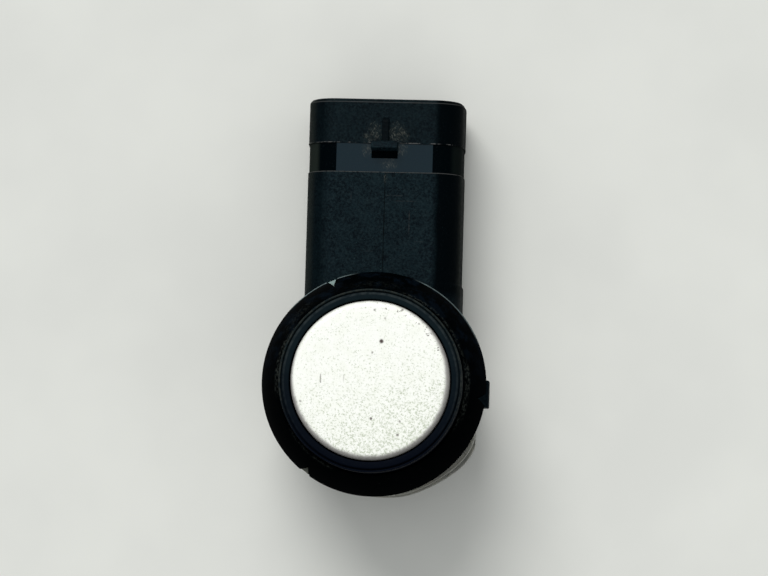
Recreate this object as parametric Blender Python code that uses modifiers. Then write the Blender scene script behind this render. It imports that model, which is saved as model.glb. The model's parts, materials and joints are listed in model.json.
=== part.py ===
# Ultrasonic parking sensor: a round sensing head on a housing with a plug socket on its side.
# The head's axis is +Z with the sensing face up, the socket points along +Y, and the flat back lies at z = 0.

import math

import bmesh
import bpy
from mathutils import Matrix

MM = 0.001

# Fits
FIT_GAP = 0.3 * MM
SOLDER_GAP = 0.1 * MM
MEMBRANE_SLOT = 0.15 * MM
NECK_SLOT = 0.15 * MM
NIB_GAP = 0.08 * MM

# Transducer cup
MEMBRANE_RADIUS = 8.0 * MM
MEMBRANE_THICKNESS = 0.7 * MM
MEMBRANE_EDGE = 0.5 * MM
CUP_RIM_DEPTH = 2.2 * MM
CUP_RIM_OVERHANG = 1.0 * MM
CUP_WALL = 0.9 * MM
CUP_LENGTH = 9.2 * MM
PIEZO_RADIUS = 4.0 * MM
PIEZO_THICKNESS = 0.4 * MM
ABSORBER_THICKNESS = 2.6 * MM

# Decoupling ring
DECOUPLING_WALL = 1.05 * MM
DECOUPLING_SETBACK = 0.3 * MM
DECOUPLING_PROUD = 2.5 * MM
DECOUPLING_LIP = 0.18 * MM
DECOUPLING_GROOVE = 0.14 * MM
DECOUPLING_GROOVE_DEPTH = 0.35 * MM
DECOUPLING_EDGE = 0.15 * MM
DECOUPLING_FLANGE = 0.6 * MM
DECOUPLING_FLOOR = 0.5 * MM

# Retaining ring
RETAINER_SETBACK = 0.22 * MM
RETAINER_LIP = 1.2 * MM
RETAINER_LAND = 0.12 * MM
RETAINER_EDGE_HEIGHT = 0.6 * MM
RETAINER_EDGE_CHAMFER = 0.12 * MM
RETAINER_CONE_HEIGHT = 3.5 * MM
NOTCH_DEPTH = 0.65 * MM
NOTCH_WIDTH = 1.05 * MM
NOTCH_COUNT = 3
NOTCH_START = math.radians(113.6)

# Seal ring
SEAL_WALL = 1.27 * MM
SEAL_ROOT_DEPTH = 0.65 * MM
SEAL_LENGTH = 3.9 * MM
SEAL_LIP_CHAMFER = 0.3 * MM
SEAL_GROOVE = 1.3 * MM
SEAL_FLAT_DEPTH = 1.32 * MM
NIB_HEIGHT = 1.0 * MM

# Housing head
HEAD_SETBACK = 1.2 * MM
SHOULDER_STEP = 0.8 * MM
SPIGOT_WALL = 1.0 * MM
SPIGOT_STEP = 0.05 * MM
WEB_THICKNESS = 1.5 * MM
HOUSING_WALL = 1.3 * MM
EDGE_CHAMFER = 0.3 * MM
LUG_WIDTH = 2.8 * MM
LUG_SETBACK = 0.3 * MM
LUG_BOTTOM = 7.0 * MM
LUG_FACE = 2.3 * MM
LUG_RAMP = 1.5 * MM

# Socket shell
SHELL_WIDTH = 16.3 * MM
SHELL_HEIGHT = 11.2 * MM
SHELL_CORNER = 3.0 * MM
SHELL_SIDE_DRAFT = 0.12 * MM
SHELL_MOUTH = 29.9 * MM
MOUTH_CHAMFER = 0.35 * MM
MOUTH_LENGTH = 4.65 * MM
BAND_LENGTH = 2.95 * MM
BAND_DEPTH = 0.1 * MM
ROOT_LENGTH = 10.8 * MM
ROOT_STEP = 0.15 * MM
SOCKET_DEPTH = 10.6 * MM
SOCKET_WALL = 4.0 * MM

# Latch nose and its rib
NOSE_WIDTH = 2.75 * MM
NOSE_HEIGHT = 1.2 * MM
NOSE_FRONT_HEIGHT = 0.75 * MM
NOSE_LENGTH = 1.1 * MM
NOSE_CREST = 0.35 * MM
NOSE_OVERHANG = 0.3 * MM
NOSE_ROOT = 0.5 * MM
RIB_WIDTH = 0.66 * MM
RIB_HEIGHT = 0.45 * MM
RIB_LENGTH = 2.4 * MM
RIB_ROOT = 0.15 * MM

# Pocket for the electronics, closed by the rear cover
COVER_THICKNESS = 1.0 * MM
COVER_LEDGE = 0.5 * MM
BOARD_LEDGE = 0.8 * MM
BOARD_BOTTOM = 3.0 * MM
BOARD_THICKNESS = 1.0 * MM
POCKET_CORNER = 1.2 * MM

# Socket terminals
TERMINAL_SIZE = 0.64 * MM
TERMINAL_PITCH = 3.8 * MM
TERMINAL_COUNT = 3
TERMINAL_REACH = 6.0 * MM
TERMINAL_POINT = 0.6 * MM
TERMINAL_TIP_SIZE = 0.32 * MM
TERMINAL_BEND_SETBACK = 2.0 * MM
TERMINAL_TAIL = 0.8 * MM

# Contacts between the transducer and the board
CONTACT_SPACING = 3.0 * MM
CONTACT_PIN_RADIUS = 0.35 * MM
CONTACT_PIN_HEAD = 0.4 * MM
CONTACT_PIN_TAIL = 0.4 * MM
LEAD_RADIUS = 0.18 * MM
CARRIER_RADIUS = 2.7 * MM
CARRIER_FLANGE = 1.0 * MM
CARRIER_FLANGE_HEIGHT = 0.5 * MM

# Pieces on the board
PIECE_SPACE = 0.45 * MM
TRANSFORMER_RADIUS = 2.7 * MM
TRANSFORMER_BASE = 0.7 * MM
TRANSFORMER_HEIGHT = 3.4 * MM
TRANSFORMER_SHIELD_WALL = 0.4 * MM
DRUM_FLANGE = 0.5 * MM
DRUM_WAIST_RADIUS = 0.9 * MM
CHIP_WIDTH = 6.5 * MM
CHIP_DEPTH = 4.4 * MM
CHIP_HEIGHT = 1.2 * MM
BUFFER_WIDTH = 2.6 * MM
BUFFER_DEPTH = 3.4 * MM
BUFFER_HEIGHT = 1.9 * MM
DIODE_WIDTH = 1.6 * MM
DIODE_DEPTH = 2.6 * MM
DIODE_HEIGHT = 1.1 * MM
CAPACITOR_WIDTH = 0.8 * MM
CAPACITOR_DEPTH = 1.6 * MM
CAPACITOR_HEIGHT = 0.8 * MM
RESISTOR_WIDTH = 1.6 * MM
RESISTOR_DEPTH = 0.8 * MM
RESISTOR_HEIGHT = 0.5 * MM
RESISTOR_COUNT = 4
SMALL_EDGE = 0.08 * MM

# Facets
ROUND_STEPS = 72
SMALL_ROUND_STEPS = 32
HOLE_STEPS = 16
POCKET_STEPS = 36
CORNER_STEPS = 6
EDGE_STEPS = 3
SHARP_ANGLE = math.radians(30)
WELD_DISTANCE = 0.001 * MM
PAST = 1.0 * MM

# Heights along the head's axis, worked down from the shoulder that the seal rests on
SHOULDER_TOP = SHELL_HEIGHT + SHOULDER_STEP
SEAL_BOTTOM = SHOULDER_TOP + FIT_GAP
SEAL_TOP = SEAL_BOTTOM + SEAL_LENGTH
RETAINER_BOTTOM = SEAL_TOP + FIT_GAP
RETAINER_EDGE_TOP = RETAINER_BOTTOM + RETAINER_EDGE_HEIGHT
RETAINER_TOP = RETAINER_EDGE_TOP + RETAINER_CONE_HEIGHT
LIP_BOTTOM = RETAINER_TOP - RETAINER_LIP
FLANGE_TOP = LIP_BOTTOM - FIT_GAP
FLANGE_BOTTOM = FLANGE_TOP - DECOUPLING_FLANGE
SPIGOT_TOP = FLANGE_BOTTOM - FIT_GAP
DECOUPLING_TOP = RETAINER_TOP + DECOUPLING_PROUD
MEMBRANE_TOP = DECOUPLING_TOP + DECOUPLING_SETBACK
MEMBRANE_BACK = MEMBRANE_TOP - MEMBRANE_THICKNESS
CUP_RIM_BOTTOM = MEMBRANE_TOP - CUP_RIM_DEPTH
CUP_BOTTOM = MEMBRANE_TOP - CUP_LENGTH
DECOUPLING_BOTTOM = CUP_BOTTOM - FIT_GAP - DECOUPLING_FLOOR
WEB_TOP = DECOUPLING_BOTTOM - FIT_GAP
WEB_BOTTOM = WEB_TOP - WEB_THICKNESS
BOARD_TOP = BOARD_BOTTOM + BOARD_THICKNESS
BOARD_LEDGE_HEIGHT = BOARD_TOP + FIT_GAP
COVER_LEDGE_HEIGHT = COVER_THICKNESS + FIT_GAP
POCKET_TOP = SHELL_HEIGHT - HOUSING_WALL

# Radii of the head
CUP_RADIUS = MEMBRANE_RADIUS - CUP_RIM_OVERHANG
CUP_BORE = CUP_RADIUS - CUP_WALL
DECOUPLING_MOUTH = MEMBRANE_RADIUS + MEMBRANE_SLOT
DECOUPLING_BORE = CUP_RADIUS + FIT_GAP
NECK_RADIUS = DECOUPLING_MOUTH + DECOUPLING_WALL
GROOVE_OUTER = NECK_RADIUS - DECOUPLING_LIP
GROOVE_INNER = GROOVE_OUTER - DECOUPLING_GROOVE
RETAINER_BORE = NECK_RADIUS + NECK_SLOT
SPIGOT_RADIUS = RETAINER_BORE + SPIGOT_STEP
SPIGOT_BORE = SPIGOT_RADIUS - SPIGOT_WALL
CHAMBER_RADIUS = SPIGOT_BORE - FIT_GAP
RETAINER_SKIRT = SPIGOT_RADIUS + FIT_GAP
SEAL_ROOT = RETAINER_SKIRT + SEAL_WALL
SEAL_RADIUS = SEAL_ROOT + SEAL_ROOT_DEPTH
SEAL_FLAT = SEAL_RADIUS - SEAL_FLAT_DEPTH
RETAINER_RADIUS = SEAL_RADIUS - RETAINER_SETBACK
HEAD_RADIUS = RETAINER_RADIUS - HEAD_SETBACK
LUG_REACH = RETAINER_RADIUS
CARRIER_HOLE = CARRIER_RADIUS + FIT_GAP

# Places along the socket
BAND_FRONT = SHELL_MOUTH - MOUTH_LENGTH
BAND_BACK = BAND_FRONT - BAND_LENGTH
SOCKET_END = SHELL_MOUTH - SOCKET_DEPTH
UPPER_POCKET_END = SOCKET_END - SOCKET_WALL
BOARD_POCKET_END = UPPER_POCKET_END + BOARD_LEDGE
COVER_POCKET_END = BOARD_POCKET_END + COVER_LEDGE
TERMINAL_LEVEL = SHELL_HEIGHT / 2
TERMINAL_TIP = SOCKET_END + TERMINAL_REACH
TERMINAL_BEND = UPPER_POCKET_END - TERMINAL_BEND_SETBACK

# Pocket radii and half widths, one for each level
COVER_POCKET_RADIUS = HEAD_RADIUS - HOUSING_WALL
BOARD_POCKET_RADIUS = COVER_POCKET_RADIUS - COVER_LEDGE
UPPER_POCKET_RADIUS = BOARD_POCKET_RADIUS - BOARD_LEDGE
COVER_POCKET_HALF = SHELL_WIDTH / 2 - HOUSING_WALL
BOARD_POCKET_HALF = COVER_POCKET_HALF - COVER_LEDGE
UPPER_POCKET_HALF = BOARD_POCKET_HALF - BOARD_LEDGE


def clear_scene():
    for old in list(bpy.data.objects):
        bpy.data.objects.remove(old)


def new_collection(name):
    collection = bpy.data.collections.new(name)
    bpy.context.scene.collection.children.link(collection)
    return collection


def new_material(name, colour, roughness, metallic=0.0):
    material = bpy.data.materials.new(name)
    material.use_nodes = True
    shader = material.node_tree.nodes["Principled BSDF"]
    shader.inputs["Base Color"].default_value = (*colour, 1.0)
    shader.inputs["Roughness"].default_value = roughness
    shader.inputs["Metallic"].default_value = metallic
    material.diffuse_color = (*colour, 1.0)
    return material


clear_scene()
PARTS = new_collection("parking_sensor")
CUTTERS = new_collection("cutters")

HOUSING_PLASTIC = new_material("housing_plastic", (0.008, 0.013, 0.018), 0.55)
GLOSS_PLASTIC = new_material("gloss_plastic", (0.004, 0.005, 0.006), 0.12)
PAINTED_METAL = new_material("painted_metal", (0.78, 0.80, 0.76), 0.35)
DARK_SILICONE = new_material("dark_silicone", (0.016, 0.022, 0.034), 0.6)
CLEAR_SILICONE = new_material("clear_silicone", (0.45, 0.50, 0.44), 0.3)
CERAMIC = new_material("piezo_ceramic", (0.62, 0.55, 0.38), 0.45)
FOAM = new_material("absorber_foam", (0.05, 0.05, 0.05), 0.9)
POTTING = new_material("potting_compound", (0.35, 0.36, 0.36), 0.4)
BOARD_GREEN = new_material("board_laminate", (0.02, 0.13, 0.05), 0.45)
CHIP_BLACK = new_material("chip_resin", (0.01, 0.01, 0.01), 0.5)
TIN = new_material("tinned_metal", (0.72, 0.72, 0.70), 0.28, 1.0)
COPPER = new_material("copper_wire", (0.72, 0.30, 0.14), 0.3, 1.0)
FERRITE = new_material("ferrite", (0.03, 0.03, 0.032), 0.5)
CAPACITOR_BODY = new_material("capacitor_body", (0.30, 0.19, 0.10), 0.5)


def add_object(name, data, material=None, collection=PARTS):
    obj = bpy.data.objects.new(name, data)
    collection.objects.link(obj)
    if material:
        obj.data.materials.append(material)
    if collection is CUTTERS:
        obj.hide_render = True
        obj.display_type = "WIRE"
    return obj


# A turned piece: (radius, height) points that run down the outer side and back up the inner one.
def turned(name, profile, material=None, collection=PARTS, steps=ROUND_STEPS):
    mesh = bpy.data.meshes.new(name)
    edges = [(i, i + 1) for i in range(len(profile) - 1)]
    on_axis = profile[0][0] == 0 and profile[-1][0] == 0
    if not on_axis:
        edges.append((len(profile) - 1, 0))
    mesh.from_pydata([(radius, 0, height) for radius, height in profile], edges, [])
    obj = add_object(name, mesh, material, collection)
    screw = obj.modifiers.new("Turn", "SCREW")
    screw.axis = "Z"
    screw.steps = steps
    screw.render_steps = steps
    screw.use_merge_vertices = True
    screw.merge_threshold = WELD_DISTANCE
    return obj


def disc_profile(radius, bottom, top):
    return [(0, top), (radius, top), (radius, bottom), (0, bottom)]


# Replaces a curve by a closed mesh of it, which can be cut, joined or used as a cutter.
def as_mesh(curve):
    bpy.context.view_layer.update()
    evaluated = curve.evaluated_get(bpy.context.evaluated_depsgraph_get())
    mesh = bpy.data.meshes.new_from_object(evaluated)
    shape = bmesh.new()
    shape.from_mesh(mesh)
    bmesh.ops.remove_doubles(shape, verts=shape.verts, dist=WELD_DISTANCE)
    shape.to_mesh(mesh)
    shape.free()
    name = curve.name
    collection = curve.users_collection[0]
    matrix = curve.matrix_world.copy()
    bpy.data.objects.remove(curve)
    obj = add_object(name, mesh, None, collection)
    obj.matrix_world = matrix
    return obj


# A flat outline with a thickness along its own z axis, centred on it.
def outline_curve(name, points, thickness, material, collection):
    curve = bpy.data.curves.new(name, "CURVE")
    curve.dimensions = "2D"
    curve.fill_mode = "BOTH"
    curve.extrude = thickness / 2
    spline = curve.splines.new("POLY")
    spline.points.add(len(points) - 1)
    for point, (x, y) in zip(spline.points, points):
        point.co = (x, y, 0, 1)
    spline.use_cyclic_u = True
    return add_object(name, curve, material, collection)


# An outline in x and y, from one height to another.
def plate(name, points, bottom, top, material=None, collection=PARTS):
    obj = outline_curve(name, points, top - bottom, material, collection)
    obj.location.z = (bottom + top) / 2
    return as_mesh(obj)


# An outline in x and z, from one place along y to another.
def rail(name, points, back, front, material=None, collection=PARTS):
    obj = outline_curve(name, points, front - back, material, collection)
    obj.rotation_euler = (math.pi / 2, 0, 0)
    obj.location.y = (back + front) / 2
    return as_mesh(obj)


# An outline in y and z, with a width along x about its middle.
def side_profile(name, points, middle, width, material=None, collection=PARTS):
    obj = outline_curve(name, points, width, material, collection)
    obj.matrix_world = Matrix(
        ((0, 0, 1, middle), (1, 0, 0, 0), (0, 1, 0, 0), (0, 0, 0, 1))
    )
    return as_mesh(obj)


def box(name, size, centre, material=None, collection=PARTS, edge=0.0):
    mesh = bpy.data.meshes.new(name)
    shape = bmesh.new()
    bmesh.ops.create_cube(shape, size=1, matrix=Matrix.Diagonal((*size, 1)))
    shape.to_mesh(mesh)
    shape.free()
    obj = add_object(name, mesh, material, collection)
    obj.location = centre
    if edge:
        bevel = obj.modifiers.new("Edges", "BEVEL")
        bevel.width = edge
        bevel.segments = 1
    return obj


def combine(obj, other, operation):
    boolean = obj.modifiers.new(other.name, "BOOLEAN")
    boolean.operation = operation
    boolean.object = other
    boolean.solver = "EXACT"


def cut(obj, *others):
    for other in others:
        combine(obj, other, "DIFFERENCE")


def join(obj, *others):
    for other in others:
        combine(obj, other, "UNION")


def arc(x, y, radius, start, stop, steps):
    angles = [start + (stop - start) * i / steps for i in range(steps + 1)]
    return [(x + radius * math.cos(a), y + radius * math.sin(a)) for a in angles]


# The socket shell's section in x and z: a rounded rectangle whose sides swell a little to their middle.
def shell_section(inset, widen=0.0):
    half = SHELL_WIDTH / 2 + widen - inset
    radius = SHELL_CORNER - inset
    low = inset + radius
    high = SHELL_HEIGHT - inset - radius
    middle = half - SHELL_SIDE_DRAFT - radius
    quarter = math.pi / 2
    points = arc(middle, high, radius, 0, quarter, CORNER_STEPS)
    points += arc(-middle, high, radius, quarter, 2 * quarter, CORNER_STEPS)
    points.append((-half, SHELL_HEIGHT / 2))
    points += arc(-middle, low, radius, 2 * quarter, 3 * quarter, CORNER_STEPS)
    points += arc(middle, low, radius, 3 * quarter, 4 * quarter, CORNER_STEPS)
    points.append((half, SHELL_HEIGHT / 2))
    return points


# Outline of the electronics pocket: a circle about the head's axis, run out into the socket's neck.
def keyhole(radius, half_width, end, corner):
    side = math.asin(min(1.0, half_width / radius))
    quarter = math.pi / 2
    points = arc(0, 0, radius, quarter + side, 5 * quarter - side, POCKET_STEPS)
    points += arc(half_width - corner, end - corner, corner, 0, quarter, CORNER_STEPS)
    points += arc(corner - half_width, end - corner, corner, quarter, 2 * quarter, CORNER_STEPS)
    return points


# The outer shell of the socket, lofted along y because its sections differ in size.
def shell_loft():
    stations = (
        (0, 0, ROOT_STEP),
        (ROOT_LENGTH, 0, ROOT_STEP),
        (ROOT_LENGTH + ROOT_STEP, 0, 0),
        (BAND_BACK, 0, 0),
        (BAND_BACK, BAND_DEPTH, 0),
        (BAND_FRONT, BAND_DEPTH, 0),
        (BAND_FRONT, 0, 0),
        (SHELL_MOUTH - MOUTH_CHAMFER, 0, 0),
        (SHELL_MOUTH, MOUTH_CHAMFER, 0),
    )
    shape = bmesh.new()
    rings = []
    for y, inset, widen in stations:
        rings.append([shape.verts.new((x, y, z)) for x, z in shell_section(inset, widen)])
    count = len(rings[0])
    for back, front in zip(rings, rings[1:]):
        for i in range(count):
            j = (i + 1) % count
            shape.faces.new((back[i], front[i], front[j], back[j]))
    shape.faces.new(rings[0])
    shape.faces.new(rings[-1][::-1])
    bmesh.ops.recalc_face_normals(shape, faces=shape.faces)
    mesh = bpy.data.meshes.new("shell")
    shape.to_mesh(mesh)
    shape.free()
    return add_object("shell", mesh, None, CUTTERS)


# One clip lug: a flat locking face to the back, and a ramp towards the sensing face.
def lug(name, side):
    root = HEAD_RADIUS - HOUSING_WALL / 2
    face_top = LUG_BOTTOM + LUG_FACE
    points = [
        (side * root, LUG_BOTTOM),
        (side * LUG_REACH, LUG_BOTTOM),
        (side * LUG_REACH, face_top),
        (side * root, face_top + LUG_RAMP),
    ]
    back = -LUG_SETBACK - LUG_WIDTH / 2
    return rail(name, points[::side], back, back + LUG_WIDTH, None, CUTTERS)


def latch_nose():
    front = BAND_FRONT + NOSE_OVERHANG
    back = front - NOSE_LENGTH
    root = SHELL_HEIGHT - NOSE_ROOT
    points = [
        (back, root),
        (front, root),
        (front, SHELL_HEIGHT + NOSE_FRONT_HEIGHT),
        (back + NOSE_CREST, SHELL_HEIGHT + NOSE_HEIGHT),
        (back, SHELL_HEIGHT + NOSE_HEIGHT),
    ]
    return side_profile("nose", points, 0, NOSE_WIDTH, None, CUTTERS)


def latch_rib():
    back = BAND_FRONT - RIB_ROOT
    front = BAND_FRONT + NOSE_OVERHANG + RIB_LENGTH
    root = SHELL_HEIGHT - NOSE_ROOT
    top = SHELL_HEIGHT + RIB_HEIGHT
    points = [(back, root), (front, root), (front, SHELL_HEIGHT), (front - RIB_HEIGHT, top), (back, top)]
    return side_profile("rib", points, 0, RIB_WIDTH, None, CUTTERS)


def head_block():
    profile = [
        (0, SPIGOT_TOP),
        (SPIGOT_RADIUS - EDGE_CHAMFER, SPIGOT_TOP),
        (SPIGOT_RADIUS, SPIGOT_TOP - EDGE_CHAMFER),
        (SPIGOT_RADIUS, SHOULDER_TOP),
        (HEAD_RADIUS - EDGE_CHAMFER, SHOULDER_TOP),
        (HEAD_RADIUS, SHOULDER_TOP - EDGE_CHAMFER),
        (HEAD_RADIUS, EDGE_CHAMFER),
        (HEAD_RADIUS - EDGE_CHAMFER, 0),
        (0, 0),
    ]
    return turned("housing", profile, HOUSING_PLASTIC)


# The hollow of the head: the chamber of the transducer, the hole in the web, and the top of the pocket.
def head_hollow():
    profile = [
        (0, SPIGOT_TOP + PAST),
        (SPIGOT_BORE, SPIGOT_TOP + PAST),
        (SPIGOT_BORE, WEB_TOP),
        (CARRIER_HOLE, WEB_TOP),
        (CARRIER_HOLE, WEB_BOTTOM),
        (UPPER_POCKET_RADIUS, WEB_BOTTOM),
        (UPPER_POCKET_RADIUS, BOARD_LEDGE_HEIGHT + PAST),
        (0, BOARD_LEDGE_HEIGHT + PAST),
    ]
    return turned("head_hollow", profile, None, CUTTERS)


# The pocket for the electronics in three steps, each a keyhole: for the cover, the board and what stands on it.
def pocket_steps():
    steps = (
        ("cover_step", COVER_POCKET_RADIUS, COVER_POCKET_HALF, COVER_POCKET_END, -PAST, COVER_LEDGE_HEIGHT),
        ("board_step", BOARD_POCKET_RADIUS, BOARD_POCKET_HALF, BOARD_POCKET_END, -PAST, BOARD_LEDGE_HEIGHT),
        ("upper_step", UPPER_POCKET_RADIUS, UPPER_POCKET_HALF, UPPER_POCKET_END, -PAST, POCKET_TOP),
    )
    for name, radius, half, end, bottom, top in steps:
        yield plate(name, keyhole(radius, half, end, POCKET_CORNER), bottom, top, None, CUTTERS)


def terminal_places():
    first = -TERMINAL_PITCH * (TERMINAL_COUNT - 1) / 2
    return [first + TERMINAL_PITCH * i for i in range(TERMINAL_COUNT)]


def socket_hollow():
    yield rail("socket", shell_section(HOUSING_WALL), SOCKET_END, SHELL_MOUTH + PAST, None, CUTTERS)
    hole = TERMINAL_SIZE + 2 * FIT_GAP
    length = SOCKET_WALL + 2 * PAST
    for number, x in enumerate(terminal_places(), 1):
        centre = (x, SOCKET_END - SOCKET_WALL / 2, TERMINAL_LEVEL)
        yield box(f"terminal_hole_{number}", (hole, length, hole), centre, None, CUTTERS)


def build_housing():
    housing = head_block()
    join(housing, shell_loft(), lug("lug_right", 1), lug("lug_left", -1), latch_nose(), latch_rib())
    cut(housing, *pocket_steps(), head_hollow(), *socket_hollow())


def build_rear_cover():
    outline = keyhole(
        COVER_POCKET_RADIUS - FIT_GAP,
        COVER_POCKET_HALF - FIT_GAP,
        COVER_POCKET_END - FIT_GAP,
        POCKET_CORNER,
    )
    plate("rear_cover", outline, 0, COVER_THICKNESS, HOUSING_PLASTIC)


def build_transducer_cup():
    profile = [(0, MEMBRANE_TOP)]
    edge_middle = MEMBRANE_RADIUS - MEMBRANE_EDGE
    quarter = math.pi / 2
    profile += arc(edge_middle, MEMBRANE_TOP - MEMBRANE_EDGE, MEMBRANE_EDGE, quarter, 0, EDGE_STEPS)
    profile += [
        (MEMBRANE_RADIUS, CUP_RIM_BOTTOM),
        (CUP_RADIUS, CUP_RIM_BOTTOM),
        (CUP_RADIUS, CUP_BOTTOM),
        (CUP_BORE, CUP_BOTTOM),
        (CUP_BORE, MEMBRANE_BACK),
        (0, MEMBRANE_BACK),
    ]
    turned("transducer_cup", profile, PAINTED_METAL)


def lead_places():
    return (-CONTACT_SPACING / 2, CONTACT_SPACING / 2)


# Holes in a turned piece for the two leads or pins that run through it.
def lead_holes(name, radius, bottom, top):
    for number, x in enumerate(lead_places(), 1):
        hole = turned(
            f"{name}_hole_{number}",
            disc_profile(radius, bottom - PAST, top + PAST),
            None,
            CUTTERS,
            HOLE_STEPS,
        )
        hole.location.x = x
        yield hole


def build_cup_filling():
    piezo_top = MEMBRANE_BACK - SOLDER_GAP
    piezo_bottom = piezo_top - PIEZO_THICKNESS
    turned("piezo_disc", disc_profile(PIEZO_RADIUS, piezo_bottom, piezo_top), CERAMIC)
    filling_radius = CUP_BORE - FIT_GAP
    absorber_top = piezo_bottom - FIT_GAP
    absorber_bottom = absorber_top - ABSORBER_THICKNESS
    plug_top = absorber_bottom - FIT_GAP
    hole = LEAD_RADIUS + FIT_GAP
    absorber = turned("absorber_pad", disc_profile(filling_radius, absorber_bottom, absorber_top), FOAM)
    cut(absorber, *lead_holes("absorber", hole, absorber_bottom, absorber_top))
    plug_bottom = carrier_top() + CONTACT_PIN_HEAD + FIT_GAP
    plug = turned("potting_plug", disc_profile(filling_radius, plug_bottom, plug_top), POTTING)
    cut(plug, *lead_holes("plug", hole, plug_bottom, plug_top))
    lead_bottom = plug_bottom
    lead_top = piezo_bottom - SOLDER_GAP
    for number, x in enumerate(lead_places(), 1):
        wire(f"transducer_lead_{number}", LEAD_RADIUS, (x, 0, lead_bottom), (x, 0, lead_top), COPPER)


def carrier_top():
    return WEB_TOP + FIT_GAP + CARRIER_FLANGE_HEIGHT


# A round pin or wire between two points.
def wire(name, radius, start, end, material):
    curve = bpy.data.curves.new(name, "CURVE")
    curve.dimensions = "3D"
    curve.bevel_depth = radius
    curve.bevel_resolution = 2
    curve.use_fill_caps = True
    spline = curve.splines.new("POLY")
    spline.points.add(1)
    spline.points[0].co = (*start, 1)
    spline.points[1].co = (*end, 1)
    return add_object(name, curve, material)


def build_contacts():
    top = carrier_top()
    profile = [
        (0, top),
        (CARRIER_RADIUS + CARRIER_FLANGE, top),
        (CARRIER_RADIUS + CARRIER_FLANGE, WEB_TOP + FIT_GAP),
        (CARRIER_RADIUS, WEB_TOP + FIT_GAP),
        (CARRIER_RADIUS, WEB_BOTTOM),
        (0, WEB_BOTTOM),
    ]
    carrier = turned("contact_carrier", profile, CHIP_BLACK, PARTS, SMALL_ROUND_STEPS)
    cut(carrier, *lead_holes("carrier", CONTACT_PIN_RADIUS + FIT_GAP, WEB_BOTTOM, top))
    pin_bottom = BOARD_BOTTOM - CONTACT_PIN_TAIL
    pin_top = top + CONTACT_PIN_HEAD
    for number, x in enumerate(lead_places(), 1):
        wire(f"contact_pin_{number}", CONTACT_PIN_RADIUS, (x, 0, pin_bottom), (x, 0, pin_top), TIN)


def build_decoupling_ring():
    groove_bottom = DECOUPLING_TOP - DECOUPLING_GROOVE_DEPTH
    profile = [
        (GROOVE_INNER - DECOUPLING_EDGE, DECOUPLING_TOP),
        (GROOVE_INNER, DECOUPLING_TOP - DECOUPLING_EDGE),
        (GROOVE_INNER, groove_bottom),
        (GROOVE_OUTER, groove_bottom),
        (GROOVE_OUTER, DECOUPLING_TOP),
        (NECK_RADIUS, DECOUPLING_TOP),
        (NECK_RADIUS, FLANGE_TOP),
        (SPIGOT_RADIUS, FLANGE_TOP),
        (SPIGOT_RADIUS, FLANGE_BOTTOM),
        (CHAMBER_RADIUS, FLANGE_BOTTOM),
        (CHAMBER_RADIUS, DECOUPLING_BOTTOM),
        (CUP_BORE, DECOUPLING_BOTTOM),
        (CUP_BORE, DECOUPLING_BOTTOM + DECOUPLING_FLOOR),
        (DECOUPLING_BORE, DECOUPLING_BOTTOM + DECOUPLING_FLOOR),
        (DECOUPLING_BORE, CUP_RIM_BOTTOM - FIT_GAP),
        (DECOUPLING_MOUTH, CUP_RIM_BOTTOM - FIT_GAP),
        (DECOUPLING_MOUTH, DECOUPLING_TOP),
    ]
    turned("decoupling_ring", profile, DARK_SILICONE)


def notch_angles():
    return [NOTCH_START + 2 * math.pi * i / NOTCH_COUNT for i in range(NOTCH_COUNT)]


# A V-shaped wedge that points at the head's axis, for a notch or for what fills it.
def notch_wedge(name, angle, gap, outer, bottom, top, collection):
    slope = NOTCH_WIDTH / 2 / NOTCH_DEPTH
    tip = RETAINER_RADIUS - NOTCH_DEPTH + gap * math.hypot(1, slope) / slope
    half = (outer - tip) * slope
    wedge = plate(name, [(tip, 0), (outer, -half), (outer, half)], bottom, top, None, collection)
    wedge.rotation_euler.z = angle
    return wedge


def build_retaining_ring():
    profile = [
        (RETAINER_BORE + RETAINER_LAND, RETAINER_TOP),
        (RETAINER_RADIUS, RETAINER_EDGE_TOP),
        (RETAINER_RADIUS, RETAINER_BOTTOM + RETAINER_EDGE_CHAMFER),
        (RETAINER_RADIUS - RETAINER_EDGE_CHAMFER, RETAINER_BOTTOM),
        (RETAINER_SKIRT, RETAINER_BOTTOM),
        (RETAINER_SKIRT, LIP_BOTTOM),
        (RETAINER_BORE, LIP_BOTTOM),
        (RETAINER_BORE, RETAINER_TOP - RETAINER_LAND),
    ]
    ring = turned("retaining_ring", profile, GLOSS_PLASTIC)
    for number, angle in enumerate(notch_angles(), 1):
        outer = RETAINER_RADIUS + PAST
        low = RETAINER_BOTTOM - PAST
        high = RETAINER_TOP + PAST
        cut(ring, notch_wedge(f"notch_{number}", angle, 0, outer, low, high, CUTTERS))


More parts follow.
